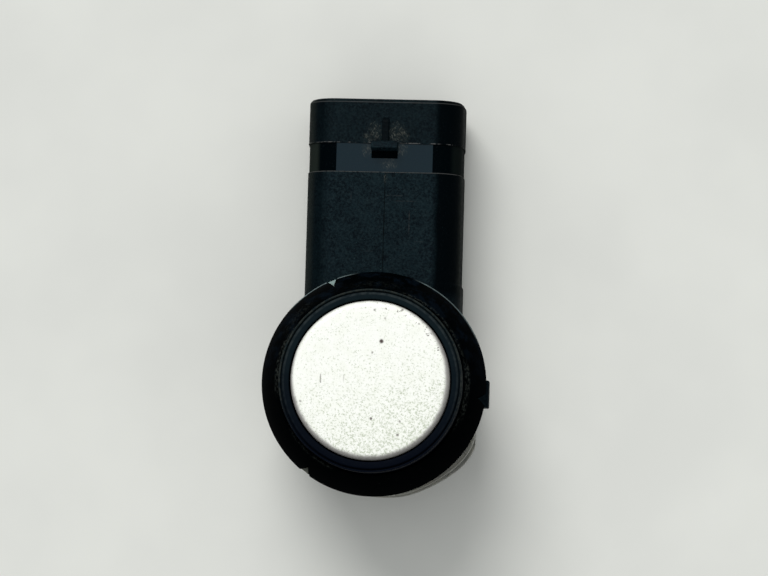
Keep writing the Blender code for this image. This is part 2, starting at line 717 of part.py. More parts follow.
def build_seal_ring():
    groove_bottom = (SEAL_BOTTOM + SEAL_TOP - SEAL_GROOVE) / 2
    groove_top = groove_bottom + SEAL_GROOVE
    slope = SEAL_ROOT_DEPTH / 2
    profile = [
        (SEAL_RADIUS - SEAL_LIP_CHAMFER, SEAL_TOP),
        (SEAL_RADIUS, SEAL_TOP - SEAL_LIP_CHAMFER),
        (SEAL_RADIUS, groove_top + slope),
        (SEAL_ROOT, groove_top),
        (SEAL_ROOT, groove_bottom),
        (SEAL_RADIUS, groove_bottom - slope),
        (SEAL_RADIUS, SEAL_BOTTOM + SEAL_LIP_CHAMFER),
        (SEAL_RADIUS - SEAL_LIP_CHAMFER, SEAL_BOTTOM),
        (RETAINER_SKIRT, SEAL_BOTTOM),
        (RETAINER_SKIRT, SEAL_TOP),
    ]
    seal = turned("seal_ring", profile, CLEAR_SILICONE)
    outer = RETAINER_RADIUS - NIB_GAP
    high = SEAL_TOP + FIT_GAP + NIB_HEIGHT
    low = SEAL_TOP - SEAL_LIP_CHAMFER
    for number, angle in enumerate(notch_angles(), 1):
        if abs(RETAINER_RADIUS * math.cos(angle)) < SEAL_FLAT:
            join(seal, notch_wedge(f"nib_{number}", angle, NIB_GAP, outer, low, high, CUTTERS))
    depth = SEAL_RADIUS - SEAL_FLAT + PAST
    size = (depth, 2 * SEAL_RADIUS, SEAL_LENGTH + 2 * PAST)
    for name, side in (("seal_flat_right", 1), ("seal_flat_left", -1)):
        centre = (side * (SEAL_FLAT + depth / 2), 0, (SEAL_BOTTOM + SEAL_TOP) / 2)
        cut(seal, box(name, size, centre, None, CUTTERS))


# A terminal is a square wire with a pointed tip in the socket, bent down through the board.
def build_terminals():
    half = TERMINAL_SIZE / 2
    low = TERMINAL_LEVEL - half
    high = TERMINAL_LEVEL + half
    tail = BOARD_BOTTOM - TERMINAL_TAIL
    outline = [
        (TERMINAL_BEND - half, tail),
        (TERMINAL_BEND + half, tail),
        (TERMINAL_BEND + half, low),
        (TERMINAL_TIP - TERMINAL_POINT, low),
        (TERMINAL_TIP, TERMINAL_LEVEL - TERMINAL_TIP_SIZE / 2),
        (TERMINAL_TIP, TERMINAL_LEVEL + TERMINAL_TIP_SIZE / 2),
        (TERMINAL_TIP - TERMINAL_POINT, high),
        (TERMINAL_BEND - half, high),
    ]
    for number, x in enumerate(terminal_places(), 1):
        side_profile(f"plug_terminal_{number}", outline, x, TERMINAL_SIZE, TIN)


def build_circuit_board():
    outline = keyhole(
        BOARD_POCKET_RADIUS - FIT_GAP,
        BOARD_POCKET_HALF - FIT_GAP,
        BOARD_POCKET_END - FIT_GAP,
        POCKET_CORNER,
    )
    board = plate("circuit_board", outline, BOARD_BOTTOM, BOARD_TOP, BOARD_GREEN)
    cut(board, *lead_holes("board", CONTACT_PIN_RADIUS + FIT_GAP, BOARD_BOTTOM, BOARD_TOP))
    hole = TERMINAL_SIZE + 2 * FIT_GAP
    for number, x in enumerate(terminal_places(), 1):
        centre = (x, TERMINAL_BEND, BOARD_BOTTOM + BOARD_THICKNESS / 2)
        size = (hole, hole, BOARD_THICKNESS + 2 * PAST)
        cut(board, box(f"board_terminal_hole_{number}", size, centre, None, CUTTERS))


def on_board(name, x, y, width, depth, height, material):
    centre = (x, y, BOARD_TOP + SOLDER_GAP + height / 2)
    box(name, (width, depth, height), centre, material, PARTS, SMALL_EDGE)


def build_transformer():
    y = -(CONTACT_PIN_RADIUS + PIECE_SPACE + TRANSFORMER_RADIUS)
    base_bottom = BOARD_TOP + SOLDER_GAP
    base_top = base_bottom + TRANSFORMER_BASE
    low = base_top + SOLDER_GAP
    high = low + TRANSFORMER_HEIGHT
    drum_radius = TRANSFORMER_RADIUS - TRANSFORMER_SHIELD_WALL - SOLDER_GAP
    winding_low = low + DRUM_FLANGE + SOLDER_GAP
    winding_high = high - DRUM_FLANGE - SOLDER_GAP
    drum = [
        (0, high),
        (drum_radius, high),
        (drum_radius, high - DRUM_FLANGE),
        (DRUM_WAIST_RADIUS, high - DRUM_FLANGE),
        (DRUM_WAIST_RADIUS, low + DRUM_FLANGE),
        (drum_radius, low + DRUM_FLANGE),
        (drum_radius, low),
        (0, low),
    ]
    winding = [
        (drum_radius, winding_high),
        (drum_radius, winding_low),
        (DRUM_WAIST_RADIUS + SOLDER_GAP, winding_low),
        (DRUM_WAIST_RADIUS + SOLDER_GAP, winding_high),
    ]
    shield = [
        (TRANSFORMER_RADIUS, high),
        (TRANSFORMER_RADIUS, low),
        (TRANSFORMER_RADIUS - TRANSFORMER_SHIELD_WALL, low),
        (TRANSFORMER_RADIUS - TRANSFORMER_SHIELD_WALL, high),
    ]
    pieces = (
        ("transformer_base", disc_profile(TRANSFORMER_RADIUS, base_bottom, base_top), CHIP_BLACK),
        ("transformer_core", drum, FERRITE),
        ("transformer_winding", winding, COPPER),
        ("transformer_shield", shield, FERRITE),
    )
    for name, profile, material in pieces:
        piece = turned(name, profile, material, PARTS, SMALL_ROUND_STEPS)
        piece.location.y = y


def build_board_pieces():
    chip_y = CONTACT_PIN_RADIUS + FIT_GAP + PIECE_SPACE + CHIP_DEPTH / 2
    on_board("control_chip", 0, chip_y, CHIP_WIDTH, CHIP_DEPTH, CHIP_HEIGHT, CHIP_BLACK)
    capacitor_size = (CAPACITOR_WIDTH, CAPACITOR_DEPTH, CAPACITOR_HEIGHT)
    capacitor_x = CHIP_WIDTH / 2 + PIECE_SPACE + CAPACITOR_WIDTH / 2
    capacitor_step = (CAPACITOR_DEPTH + PIECE_SPACE) / 2
    places = [(side * capacitor_x, chip_y + row * capacitor_step) for side in (-1, 1) for row in (-1, 1)]
    for number, (x, y) in enumerate(places, 1):
        on_board(f"chip_capacitor_{number}", x, y, *capacitor_size, CAPACITOR_BODY)
    beside = TRANSFORMER_RADIUS + PIECE_SPACE
    side_top = chip_y - capacitor_step - CAPACITOR_DEPTH / 2 - PIECE_SPACE
    buffer_place = (-beside - BUFFER_WIDTH / 2, side_top - BUFFER_DEPTH / 2)
    on_board("buffer_capacitor", *buffer_place, BUFFER_WIDTH, BUFFER_DEPTH, BUFFER_HEIGHT, CAPACITOR_BODY)
    diode_place = (beside + DIODE_WIDTH / 2, side_top - DIODE_DEPTH / 2)
    on_board("diode", *diode_place, DIODE_WIDTH, DIODE_DEPTH, DIODE_HEIGHT, CHIP_BLACK)
    resistor_size = (RESISTOR_WIDTH, RESISTOR_DEPTH, RESISTOR_HEIGHT)
    resistor_y = chip_y + CHIP_DEPTH / 2 + PIECE_SPACE + RESISTOR_DEPTH / 2
    pitch = RESISTOR_WIDTH + PIECE_SPACE
    for number in range(RESISTOR_COUNT):
        x = pitch * (number - (RESISTOR_COUNT - 1) / 2)
        on_board(f"chip_resistor_{number + 1}", x, resistor_y, *resistor_size, CHIP_BLACK)


# Each piece's modifiers become its mesh, which is shaded smooth between its sharp edges.
def settle(obj):
    graph = bpy.context.evaluated_depsgraph_get()
    mesh = bpy.data.meshes.new_from_object(obj.evaluated_get(graph))
    material = obj.data.materials[0] if obj.data.materials else None
    obj.modifiers.clear()
    obj.data = mesh
    mesh.name = obj.name
    mesh.materials.clear()
    if material:
        mesh.materials.append(material)
    mesh.shade_smooth()
    mesh.set_sharp_from_angle(angle=SHARP_ANGLE)


build_housing()
build_rear_cover()
build_transducer_cup()
build_cup_filling()
build_contacts()
build_decoupling_ring()
build_retaining_ring()
build_seal_ring()
build_terminals()
build_circuit_board()
build_transformer()
build_board_pieces()

bpy.context.view_layer.update()
for part in list(PARTS.objects):
    if part.type == "MESH":
        settle(part)
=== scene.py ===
import json
import math

import bmesh
import bpy
from mathutils import Matrix, Vector, noise


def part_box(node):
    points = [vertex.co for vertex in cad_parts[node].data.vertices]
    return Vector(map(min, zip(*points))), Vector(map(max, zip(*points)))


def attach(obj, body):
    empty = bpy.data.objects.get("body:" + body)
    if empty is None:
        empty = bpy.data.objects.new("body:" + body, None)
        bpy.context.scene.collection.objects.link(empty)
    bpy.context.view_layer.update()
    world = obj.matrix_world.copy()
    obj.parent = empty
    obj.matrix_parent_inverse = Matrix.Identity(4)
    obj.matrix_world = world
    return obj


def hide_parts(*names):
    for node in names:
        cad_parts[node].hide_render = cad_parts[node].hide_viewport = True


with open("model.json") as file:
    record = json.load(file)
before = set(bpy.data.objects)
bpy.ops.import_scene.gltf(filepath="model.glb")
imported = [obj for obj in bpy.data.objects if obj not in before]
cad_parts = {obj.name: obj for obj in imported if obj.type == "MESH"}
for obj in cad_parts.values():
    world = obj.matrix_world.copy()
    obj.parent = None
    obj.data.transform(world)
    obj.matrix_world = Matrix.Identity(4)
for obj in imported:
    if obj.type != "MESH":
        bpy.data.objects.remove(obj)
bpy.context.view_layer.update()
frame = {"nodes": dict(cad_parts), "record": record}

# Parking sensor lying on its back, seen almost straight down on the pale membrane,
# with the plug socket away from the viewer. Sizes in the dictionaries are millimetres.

mm = 0.001
print("frame loaded:", len(frame["nodes"]), "nodes")


# Small tools for shader nodes

current = {}  # the material and the node tree they work in


def feed(socket, value):
    if isinstance(value, bpy.types.NodeSocket):
        current["tree"].links.new(value, socket)
    else:
        socket.default_value = value


def addNode(kind, inputs=None, **settings):
    made = current["tree"].nodes.new("ShaderNode" + kind)
    for name, value in settings.items():
        setattr(made, name, value)
    for key, value in (inputs or {}).items():
        feed(made.inputs[key], value)
    return made


def calc(operation, first, second=0.0, clamp=False):
    made = addNode("Math", {0: first, 1: second}, operation=operation, use_clamp=clamp)
    return made.outputs[0]


def chained(operation, values):
    result = values[0]
    for value in values[1:]:
        result = calc(operation, result, value)
    return result


def times(*values):
    return chained("MULTIPLY", values)


def plus(*values):
    return chained("ADD", values)


def highest(*values):
    return chained("MAXIMUM", values)


def inverse(value):
    return calc("SUBTRACT", 1.0, value)


def blend(amount, under, over):
    return addNode("Mix", {0: amount, 2: under, 3: over}, data_type="FLOAT").outputs[0]


def remap(value, low, high, toLow=0.0, toHigh=1.0):
    ends = {"From Min": low, "From Max": high, "To Min": toLow, "To Max": toHigh}
    made = addNode("MapRange", {"Value": value, **ends}, interpolation_type="SMOOTHSTEP")
    return made.outputs["Result"]


def tint(amount, under, over):
    made = addNode("Mix", data_type="RGBA")
    feed(made.inputs[0], amount)
    feed(made.inputs[6], under if not isinstance(under, tuple) else (*under, 1))
    feed(made.inputs[7], over if not isinstance(over, tuple) else (*over, 1))
    return made.outputs[2]


def grain(place, scale, detail=3.0, rough=0.55):
    inputs = {"Vector": place, "Scale": scale, "Detail": detail, "Roughness": rough}
    return addNode("TexNoise", inputs).outputs[0]


def patchy(place, settings):
    return remap(grain(place, *settings[:3]), *settings[3:])


# Noise whose usual values, 0.3 to 0.7, are spread from low to high
def varied(place, scale, low, high):
    return remap(grain(place, scale), 0.3, 0.7, low, high)


def vectorCalc(operation, first, second):
    made = addNode("VectorMath", {0: first, 1: second}, operation=operation)
    return made.outputs["Value" if operation in ("DOT_PRODUCT", "DISTANCE") else "Vector"]


def stretched(place, scale):
    return vectorCalc("MULTIPLY", place, scale)


def partsOf(place):
    return addNode("SeparateXYZ", {0: place}).outputs


def radiusOf(place):
    flat = stretched(place, (1, 1, 0))
    return addNode("VectorMath", {0: flat}, operation="LENGTH").outputs["Value"]


def turnOf(place):
    parts = partsOf(place)
    return calc("ARCTAN2", parts[1], parts[0])


# 1 between two values of a coordinate, falling to 0 over a soft edge outside them
def between(value, low, high, soft):
    up = remap(value, low - soft, low)
    down = remap(value, high, high + soft, 1.0, 0.0)
    return times(up, down)


# 1 in a rectangle of two coordinates, limits being from, to, from, to
def boxMask(first, second, limits, soft):
    across = between(first, limits[0], limits[1], soft)
    return times(across, between(second, limits[2], limits[3], soft))


def feedShader(sockets):
    shader = current["tree"].nodes["Principled BSDF"]
    for name, value in sockets.items():
        feed(shader.inputs[name], value)


# A new material becomes the current one; gives back the object coordinates in millimetres
def startMaterial(name, sockets={}):
    current["material"] = bpy.data.materials.new(name)
    current["material"].use_nodes = True
    current["tree"] = current["material"].node_tree
    feedShader(sockets)
    source = addNode("TexCoord").outputs["Object"]
    return addNode("VectorMath", {0: source, "Scale": 1 / mm}, operation="SCALE").outputs[0]


# Colour, roughness and a relief of the given depth in millimetres
def finishMaterial(colour, rough, height, depth, sockets={}):
    bump = addNode("Bump", {"Height": height, "Distance": depth * mm, "Strength": 1.0})
    feedShader({"Base Color": colour, "Roughness": rough, "Normal": bump.outputs[0], **sockets})
    return current["material"]


# Small tools for meshes

# A path through corners (a, b) or (a, b, fillet), with each fillet as an arc
def rounded(corners, closed=True, steps=5):
    path = []
    count = len(corners)
    for i, corner in enumerate(corners):
        here = Vector(corner[:2])
        fillet = corner[2] if len(corner) > 2 else 0
        if not fillet or (not closed and i in (0, count - 1)):
            path.append(here)
            continue
        before = Vector(corners[i - 1][:2]) - here
        after = Vector(corners[(i + 1) % count][:2]) - here
        half = before.angle(after) / 2
        reach = min(fillet / math.tan(half), before.length / 2, after.length / 2)
        middle = (before.normalized() + after.normalized()).normalized()
        centre = here + middle * reach / math.cos(half)
        start = here + before.normalized() * reach - centre
        stop = here + after.normalized() * reach - centre
        first = math.atan2(start.y, start.x)
        swing = (math.atan2(stop.y, stop.x) - first + math.pi) % (2 * math.pi) - math.pi
        for k in range(steps + 1):
            turn = first + swing * k / steps
            path.append(centre + Vector((math.cos(turn), math.sin(turn))) * start.length)
    return path


# Corners from a piece's sizes, where each value is a number or the name of a size
def profile(sizes, *rows):
    return [tuple(sizes.get(value, value) for value in row) for row in rows]


def square(a, b, half):
    return [(a - half, b - half), (a + half, b - half), (a + half, b + half), (a - half, b + half)]


def addObject(name, data):
    made = bpy.data.objects.new(name, data)
    bpy.context.scene.collection.objects.link(made)
    return made


def meshObject(name, shape):
    bmesh.ops.remove_doubles(shape, verts=shape.verts, dist=0.0005 * mm)
    bmesh.ops.recalc_face_normals(shape, faces=shape.faces)
    mesh = bpy.data.meshes.new(name)
    shape.to_mesh(mesh)
    shape.free()
    return addObject(name, mesh)


# A turned piece from a closed path of (radius, height); bend may change a radius by its angle
def turnedPiece(name, path, steps, bend=None):
    shape = bmesh.new()
    rings = []
    for k in range(steps):
        turn = 2 * math.pi * k / steps
        ring = []
        for radius, height in path:
            if bend:
                radius = bend(radius, height, turn)
            point = Vector((radius * math.cos(turn), radius * math.sin(turn), height))
            ring.append(shape.verts.new(point * mm))
        rings.append(ring)
    count = len(path)
    for k in range(steps):
        here, there = rings[k], rings[(k + 1) % steps]
        for i in range(count):
            j = (i + 1) % count
            onAxis = [path[i][0] < 1e-6, path[j][0] < 1e-6]
            if all(onAxis):
                continue
            corners = [here[i], there[i], there[j], here[j]]
            if onAxis[0]:
                corners.pop(1)
            elif onAxis[1]:
                corners.pop(2)
            shape.faces.new(corners)
    return meshObject(name, shape)


# A flat outline (a, b) from one level to another; place turns (a, b, level) into x, y, z
def slab(name, outline, low, high, place):
    shape = bmesh.new()
    ends = []
    for level in (low, high):
        ends.append([shape.verts.new(Vector(place(a, b, level)) * mm) for a, b in outline])
    for end in ends:
        shape.faces.new(end)
    for i in range(len(outline)):
        j = (i + 1) % len(outline)
        shape.faces.new((ends[0][i], ends[0][j], ends[1][j], ends[1][i]))
    return meshObject(name, shape)


def upright(a, b, level):
    return (a, b, level)


def alongY(a, b, level):
    return (a, level, b)


def acrossX(a, b, level):
    return (level, a, b)


# Sections of equal point count, each at its own y, closed at both ends
def loft(name, sections):
    shape = bmesh.new()
    rings = [[shape.verts.new(Vector(point) * mm) for point in section] for section in sections]
    for back, front in zip(rings, rings[1:]):
        for i in range(len(back)):
            j = (i + 1) % len(back)
            shape.faces.new((back[i], front[i], front[j], back[j]))
    shape.faces.new(rings[0])
    shape.faces.new(rings[-1])
    return meshObject(name, shape)


def bakeModifiers(piece):
    graph = bpy.context.evaluated_depsgraph_get()
    mesh = bpy.data.meshes.new_from_object(piece.evaluated_get(graph))
    piece.modifiers.clear()
    piece.data = mesh
    return piece


def soften(piece, width, segments=3):
    bevel = piece.modifiers.new("Edges", "BEVEL")
    bevel.width = width * mm
    bevel.segments = segments
    bevel.limit_method = "ANGLE"
    bevel.angle_limit = math.radians(40)
    return bakeModifiers(piece)


def combine(piece, tools, operation):
    for tool in tools:
        modifier = piece.modifiers.new(tool.name, "BOOLEAN")
        modifier.operation = operation
        modifier.solver = "EXACT"
        modifier.object = tool
    bpy.context.view_layer.update()
    bakeModifiers(piece)
    for tool in tools:
        bpy.data.objects.remove(tool)


# Smooth shading that keeps flat faces flat and edges over the angle sharp
def finishPiece(piece, material, nodes, angle=32):
    piece.data.materials.clear()
    piece.data.materials.append(material)
    piece.data.shade_smooth()
    piece.data.set_sharp_from_angle(angle=math.radians(angle))
    weighted = piece.modifiers.new("Normals", "WEIGHTED_NORMAL")
    weighted.keep_sharp = True
    weighted.weight = 80
    bakeModifiers(piece)
    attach(piece, "root")
    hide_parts(*nodes)
    print("piece done:", piece.name, len(piece.data.polygons), "faces")


# Materials of the pieces that show. A noise in their dictionaries has its scale, detail and
# roughness, the two levels that it is spread between, and what they become

membraneSpots = [  # x, y, size, darkness
    (1.06, 3.91, 0.20, 0.97),
    (0.22, -3.83, 0.13, 0.85),
    (2.92, -5.39, 0.13, 0.75),
    (3.10, -4.05, 0.11, 0.62),
    (0.29, 7.04, 0.12, 0.6),
    (3.05, 7.12, 0.13, 0.65),
    (1.37, 6.23, 0.10, 0.45),
    (0.17, 2.77, 0.11, 0.55),
    (-6.89, -2.26, 0.12, 0.5),
    (4.76, 5.75, 0.11, 0.5),
]
membraneScratches = [  # x, y, half length, darkness
    (-4.93, 0.05, 0.4, 0.55),
    (-2.62, 0.15, 0.3, 0.25),
]


def membranePaint():
    look = {
        "paint": (0.96, 0.965, 0.905),
        "mottle": (0.93, 0.94, 0.86),
        "speck": (0.50, 0.55, 0.42),
        "rimShading": (0.235, 0.22, 0.21),
        "spot": (0.045, 0.020, 0.018),
        "mottleNoise": (1.1, 3.0, 0.55, 0.35, 0.7),
        "leanTo": (0.35, -1.0, 0),  # the lower right of the face
        "leanSpecks": (-4.5, 8.0, 0.0, 0.11),  # lean from, to, and what it adds to the specks
        "leanRimShade": (-8.0, 3.0, 7.74, 7.36),  # lean from, to, and where the painted edge shade starts
        "rimShadeWidth": 0.40,
        "rimShadeStrength": 0.86,
        "rimShadeWander": 0.04,
        "specks": (0.545, 0.75, 0.0, 0.9),
        "wander": 0.12,
        "scratchHalf": 0.03,
        "dotNoise": (3.4, 1.0, 0.55, 0.62, 0.72, 0.0, 0.7),
        "dotsTurn": (0.35, 1.45),
        "dotsRadius": (7.3, 7.8),
        "soft": 0.15,
        "rough": (0.34, 0.5),
    }
    place = startMaterial("membrane_paint", {"Specular IOR Level": 0.3})
    radius = radiusOf(place)
    colour = tint(patchy(place, look["mottleNoise"]), look["paint"], look["mottle"])
    # the paint is speckled more towards the lower right of the face
    lean = vectorCalc("DOT_PRODUCT", place, look["leanTo"])
    speckle = plus(grain(place, 4.9, 2.0, 0.85), remap(lean, *look["leanSpecks"]))
    colour = tint(remap(speckle, *look["specks"]), colour, look["speck"])
    # and its rounded edge gets a painted grey shade, heaviest at the lower right and least at the
    # back
    away = plus(radius, varied(place, 1.6, -look["rimShadeWander"], look["rimShadeWander"]))
    past = calc("SUBTRACT", away, remap(lean, *look["leanRimShade"]))
    edge = remap(past, 0.0, look["rimShadeWidth"], 0.0, look["rimShadeStrength"])
    colour = tint(edge, colour, look["rimShading"])
    # spots and scratches have ragged outlines
    cloud = addNode("TexNoise", {"Vector": place, "Scale": 6.0, "Detail": 2.0})
    shift = stretched(cloud.outputs["Color"], (look["wander"],) * 3)
    shifted = vectorCalc("ADD", stretched(place, (1, 1, 0)), shift)
    centred = vectorCalc("SUBTRACT", shifted, (look["wander"] / 2,) * 3)
    marks = 0.0
    for x, y, size, dark in membraneSpots:
        away = vectorCalc("DISTANCE", centred, (x, y, 0))
        marks = highest(marks, times(remap(away, size * 0.5, size * 1.5, 1.0, 0.0), dark))
    across, along = partsOf(centred)[:2]
    for x, y, half, dark in membraneScratches:
        scratch = between(across, x - look["scratchHalf"], x + look["scratchHalf"], 0.06)
        scratch = times(scratch, between(along, y - half, y + half, 0.1), dark)
        marks = highest(marks, scratch)
    # dirt dots along the edge at the upper right
    dots = times(
        patchy(place, look["dotNoise"]),
        between(turnOf(place), *look["dotsTurn"], look["soft"]),
        between(radius, *look["dotsRadius"], look["soft"]),
    )
    colour = tint(highest(marks, dots), colour, look["spot"])
    rough = varied(place, 3.0, *look["rough"])
    return finishMaterial(colour, rough, grain(place, 5.0, 3.0, 0.6), 0.012)


def neckRubber():
    look = {
        "rubber": (0.0007, 0.0019, 0.0052),
        "paintedSheen": (0.0045, 0.01, 0.0125),
        "dust": (0.034, 0.042, 0.043),
        "lipDirt": (0.030, 0.034, 0.029),
        "paintedSheenAlong": (-8.0, 7.0),
        "paintedSheenNoise": (0.8, 4.0, 0.6, 0.3, 0.7, 0.75, 1.1),
        "speckNoise": (5.0, 4.0, 0.7, 0.62, 0.78, 0.0, 0.2),
        "edgeHighlightNoise": (1.6, 3.0, 0.55, 0.3, 0.65, 0.1, 0.55),
        "dirtNoise": (2.2, 4.0, 0.7, 0.36, 0.66, 0.1, 0.75),
        "edge": (8.66, 8.82),
        "lip": (9.02, 9.21),
        "wallFade": (20.9, 22.95, 0.2, 1.0),  # the dirt fades down the wall
        "rough": (0.52, 0.68),
    }
    place = startMaterial("neck_rubber", {"Specular IOR Level": 0.03})
    y, z = partsOf(place)[1:]
    radius = radiusOf(place)
    upper = remap(y, *look["paintedSheenAlong"])
    # a painted sheen, lighter towards +Y where the light comes from
    paintedSheen = calc("MULTIPLY", upper, patchy(place, look["paintedSheenNoise"]), True)
    colour = tint(paintedSheen, look["rubber"], look["paintedSheen"])
    # a painted highlight along the rounded inner edge on the upper half, in the dust colour,
    # together with the dust specks
    rimShading = between(radius, *look["edge"], 0.08)
    wearAndHighlight = times(rimShading, patchy(place, look["edgeHighlightNoise"]), upper)
    colour = tint(highest(patchy(place, look["speckNoise"]), wearAndHighlight), colour, look["dust"])
    lip = times(
        between(radius, *look["lip"], 0.03),
        patchy(place, look["dirtNoise"]),
        remap(upper, 0.0, 0.6),
        remap(z, *look["wallFade"]),
    )
    colour = tint(lip, colour, look["lipDirt"])
    rough = varied(place, 3.0, *look["rough"])
    return finishMaterial(colour, rough, grain(place, 8.0, 4.0, 0.6), 0.02)


# Angles are degrees round the head's axis, from +X towards the socket
coneDust = [  # from, to, inner radius, outer radius, strength
    (-16, 8, 9.5, 9.75, 0.65),
    (158, 180, 9.5, 9.7, 0.65),
    (-180, -177, 9.5, 9.7, 0.65),
    (134, 146, 9.9, 10.4, 0.2),
    # this arc on the land is dust and also a painted highlight where the land meets the collar
    (-25, 66, 9.36, 9.48, 0.7),
    (150, 180, 9.36, 9.48, 0.55),
    (80, 98, 9.8, 10.2, 0.12),
    (-142, -118, 9.4, 9.5, 0.5),
]

coneRubsAndGlints = [(30, 62, 0.7), (108, 132, 0.9)]  # from, to, strength of the pale stretches of its edge, rubbed and with a painted highlight


def coneGloss():
    look = {
        "black": (0.0003, 0.0006, 0.0008),
        "reflectionHaze": (0.0016, 0.0036, 0.0062),
        "dust": (0.040, 0.046, 0.041),
        "rubAndGlint": (0.20, 0.26, 0.265),
        "rubGlintRadius": (11.27, 11.33),
        "rubGlintLevel": (16.98, 17.03),
        "reflectionAlong": (-2.0, 6.0),
        "reflectionNoise": (0.7, 5.0, 0.65, 0.44, 0.66, 0.0, 0.9),
        "fleckNoise": (3.5, 5.0, 0.75, 0.46, 0.66),
        "dustNoise": (4.5, 2.0, 0.55, 0.74, 0.80, 0.0, 0.5),
        "dustSoft": (9, 0.22),  # degrees and millimetres over which a patch fades
        "rubGlintSoft": 10,
        "gloss": 0.0009,
        "glossFrom": (0.2, 0.4),  # steeper walls than this have no gloss
        "rough": (0.18, 0.7),
    }
    place = startMaterial("cone_gloss")
    y, z = partsOf(place)[1:]
    radius = radiusOf(place)
    turn = times(turnOf(place), 180 / math.pi)
    # a painted bluish reflection, in smudges, on the side towards +Y
    hazyReflection = times(patchy(place, look["reflectionNoise"]), remap(y, *look["reflectionAlong"]))
    colour = tint(hazyReflection, look["black"], look["reflectionHaze"])
    flecks = patchy(place, look["fleckNoise"])
    dusty = patchy(place, look["dustNoise"])
    turnSoft, radiusSoft = look["dustSoft"]
    for first, last, inner, outer, strength in coneDust:
        arc = between(turn, first, last, turnSoft)
        patch = times(arc, between(radius, inner, outer, radiusSoft), flecks, strength)
        dusty = highest(dusty, patch)
    colour = tint(dusty, colour, look["dust"])
    # the upper edge is rubbed pale in two stretches, which also carry a painted highlight where it
    # faces the light
    edge = times(remap(radius, *look["rubGlintRadius"]), remap(z, *look["rubGlintLevel"]))
    rubbedAndLit = 0.0
    for first, last, strength in coneRubsAndGlints:
        arc = between(turn, first, last, look["rubGlintSoft"])
        rubbedAndLit = highest(rubbedAndLit, times(arc, strength))
    rubbedAndLit = times(rubbedAndLit, edge, remap(flecks, 0.0, 1.0, 0.5, 1.0))
    colour = tint(rubbedAndLit, colour, look["rubAndGlint"])
    upward = partsOf(addNode("NewGeometry").outputs["Normal"])[2]
    gloss = remap(upward, *look["glossFrom"], 0.0, look["gloss"])
    dull = highest(dusty, rubbedAndLit, times(hazyReflection, 0.3))
    rough = remap(dull, 0.0, 1.0, *look["rough"])
    relief = plus(grain(place, 1.5), times(dusty, 0.4))
    return finishMaterial(colour, rough, relief, 0.01, {"Specular IOR Level": gloss})


# Thin pale lines where an edge of the shell is worn or carries flash, also standing for a painted
# highlight where an edge faces the light
shellLines = [  # from y, to y, how broken the line is, strength
    (25.27, 25.33, 0.46, 0.7),
    (22.23, 22.28, 0.32, 0.36),
    (29.50, 29.55, 0.22, 0.26),
]

scuffPatches = [  # x, y, half width, half length, strength
    (-1.05, 26.35, 0.9, 1.3, 0.8),
    (-1.65, 25.8, 0.7, 0.7, 0.7),
    (1.25, 26.4, 1.0, 1.3, 0.8),
    (2.0, 26.1, 0.7, 0.9, 0.7),
    (-1.8, 24.6, 0.65, 0.9, 0.75),
    (1.85, 24.7, 0.65, 0.9, 0.75),
    (0.55, 23.2, 1.1, 0.9, 0.6),
    (0.22, 21.7, 0.3, 0.7, 0.7),
]
scuffAngles = (56, 112, -40)  # directions of the scratches, degrees from +X

shellMarks = [  # from x, to x, from y, to y, strength of single scratches on the top
    (2.76, 2.80, 15.9, 18.3, 0.16),
    (1.35, 3.4, 19.28, 19.31, 0.13),
    (0.4, 2.0, 19.83, 19.86, 0.11),
    (-2.1, -0.9, 14.02, 14.05, 0.07),
    (3.4, 4.3, 15.1, 15.13, 0.08),
    (-3.3, -3.27, 19.2, 20.1, 0.08),
]
shellNick = (0.92, 1.2, 21.8, 22.15)  # a dark nick behind the band, from x, to x, from y, to y


# Noise drawn out along a direction in the top's plane, for scratches
def streaks(x, y, angle, length=1.5, width=10.0):
    turn = math.radians(angle)
    over = math.cos(turn), math.sin(turn)
    rows = []
    for a, b, scale in ((over[0], over[1], length), (-over[1], over[0], width)):
        rows.append(plus(times(x, a * scale), times(y, b * scale)))
    drawn = addNode("CombineXYZ", {0: rows[0], 1: rows[1], 2: angle}).outputs[0]
    return grain(drawn, 1.0, 3.0, 0.6)


# How strongly each point of the top lies in one of the scuffed patches
def scuffMask(place):
    mask = 0.0
    for x, y, halfWidth, halfLength, strength in scuffPatches:
        moved = vectorCalc("SUBTRACT", place, (x, y, 0))
        away = radiusOf(stretched(moved, (1 / halfWidth, 1 / halfLength, 0)))
        mask = highest(mask, remap(away, 0.35, 1.2, strength, 0.0))
    return mask


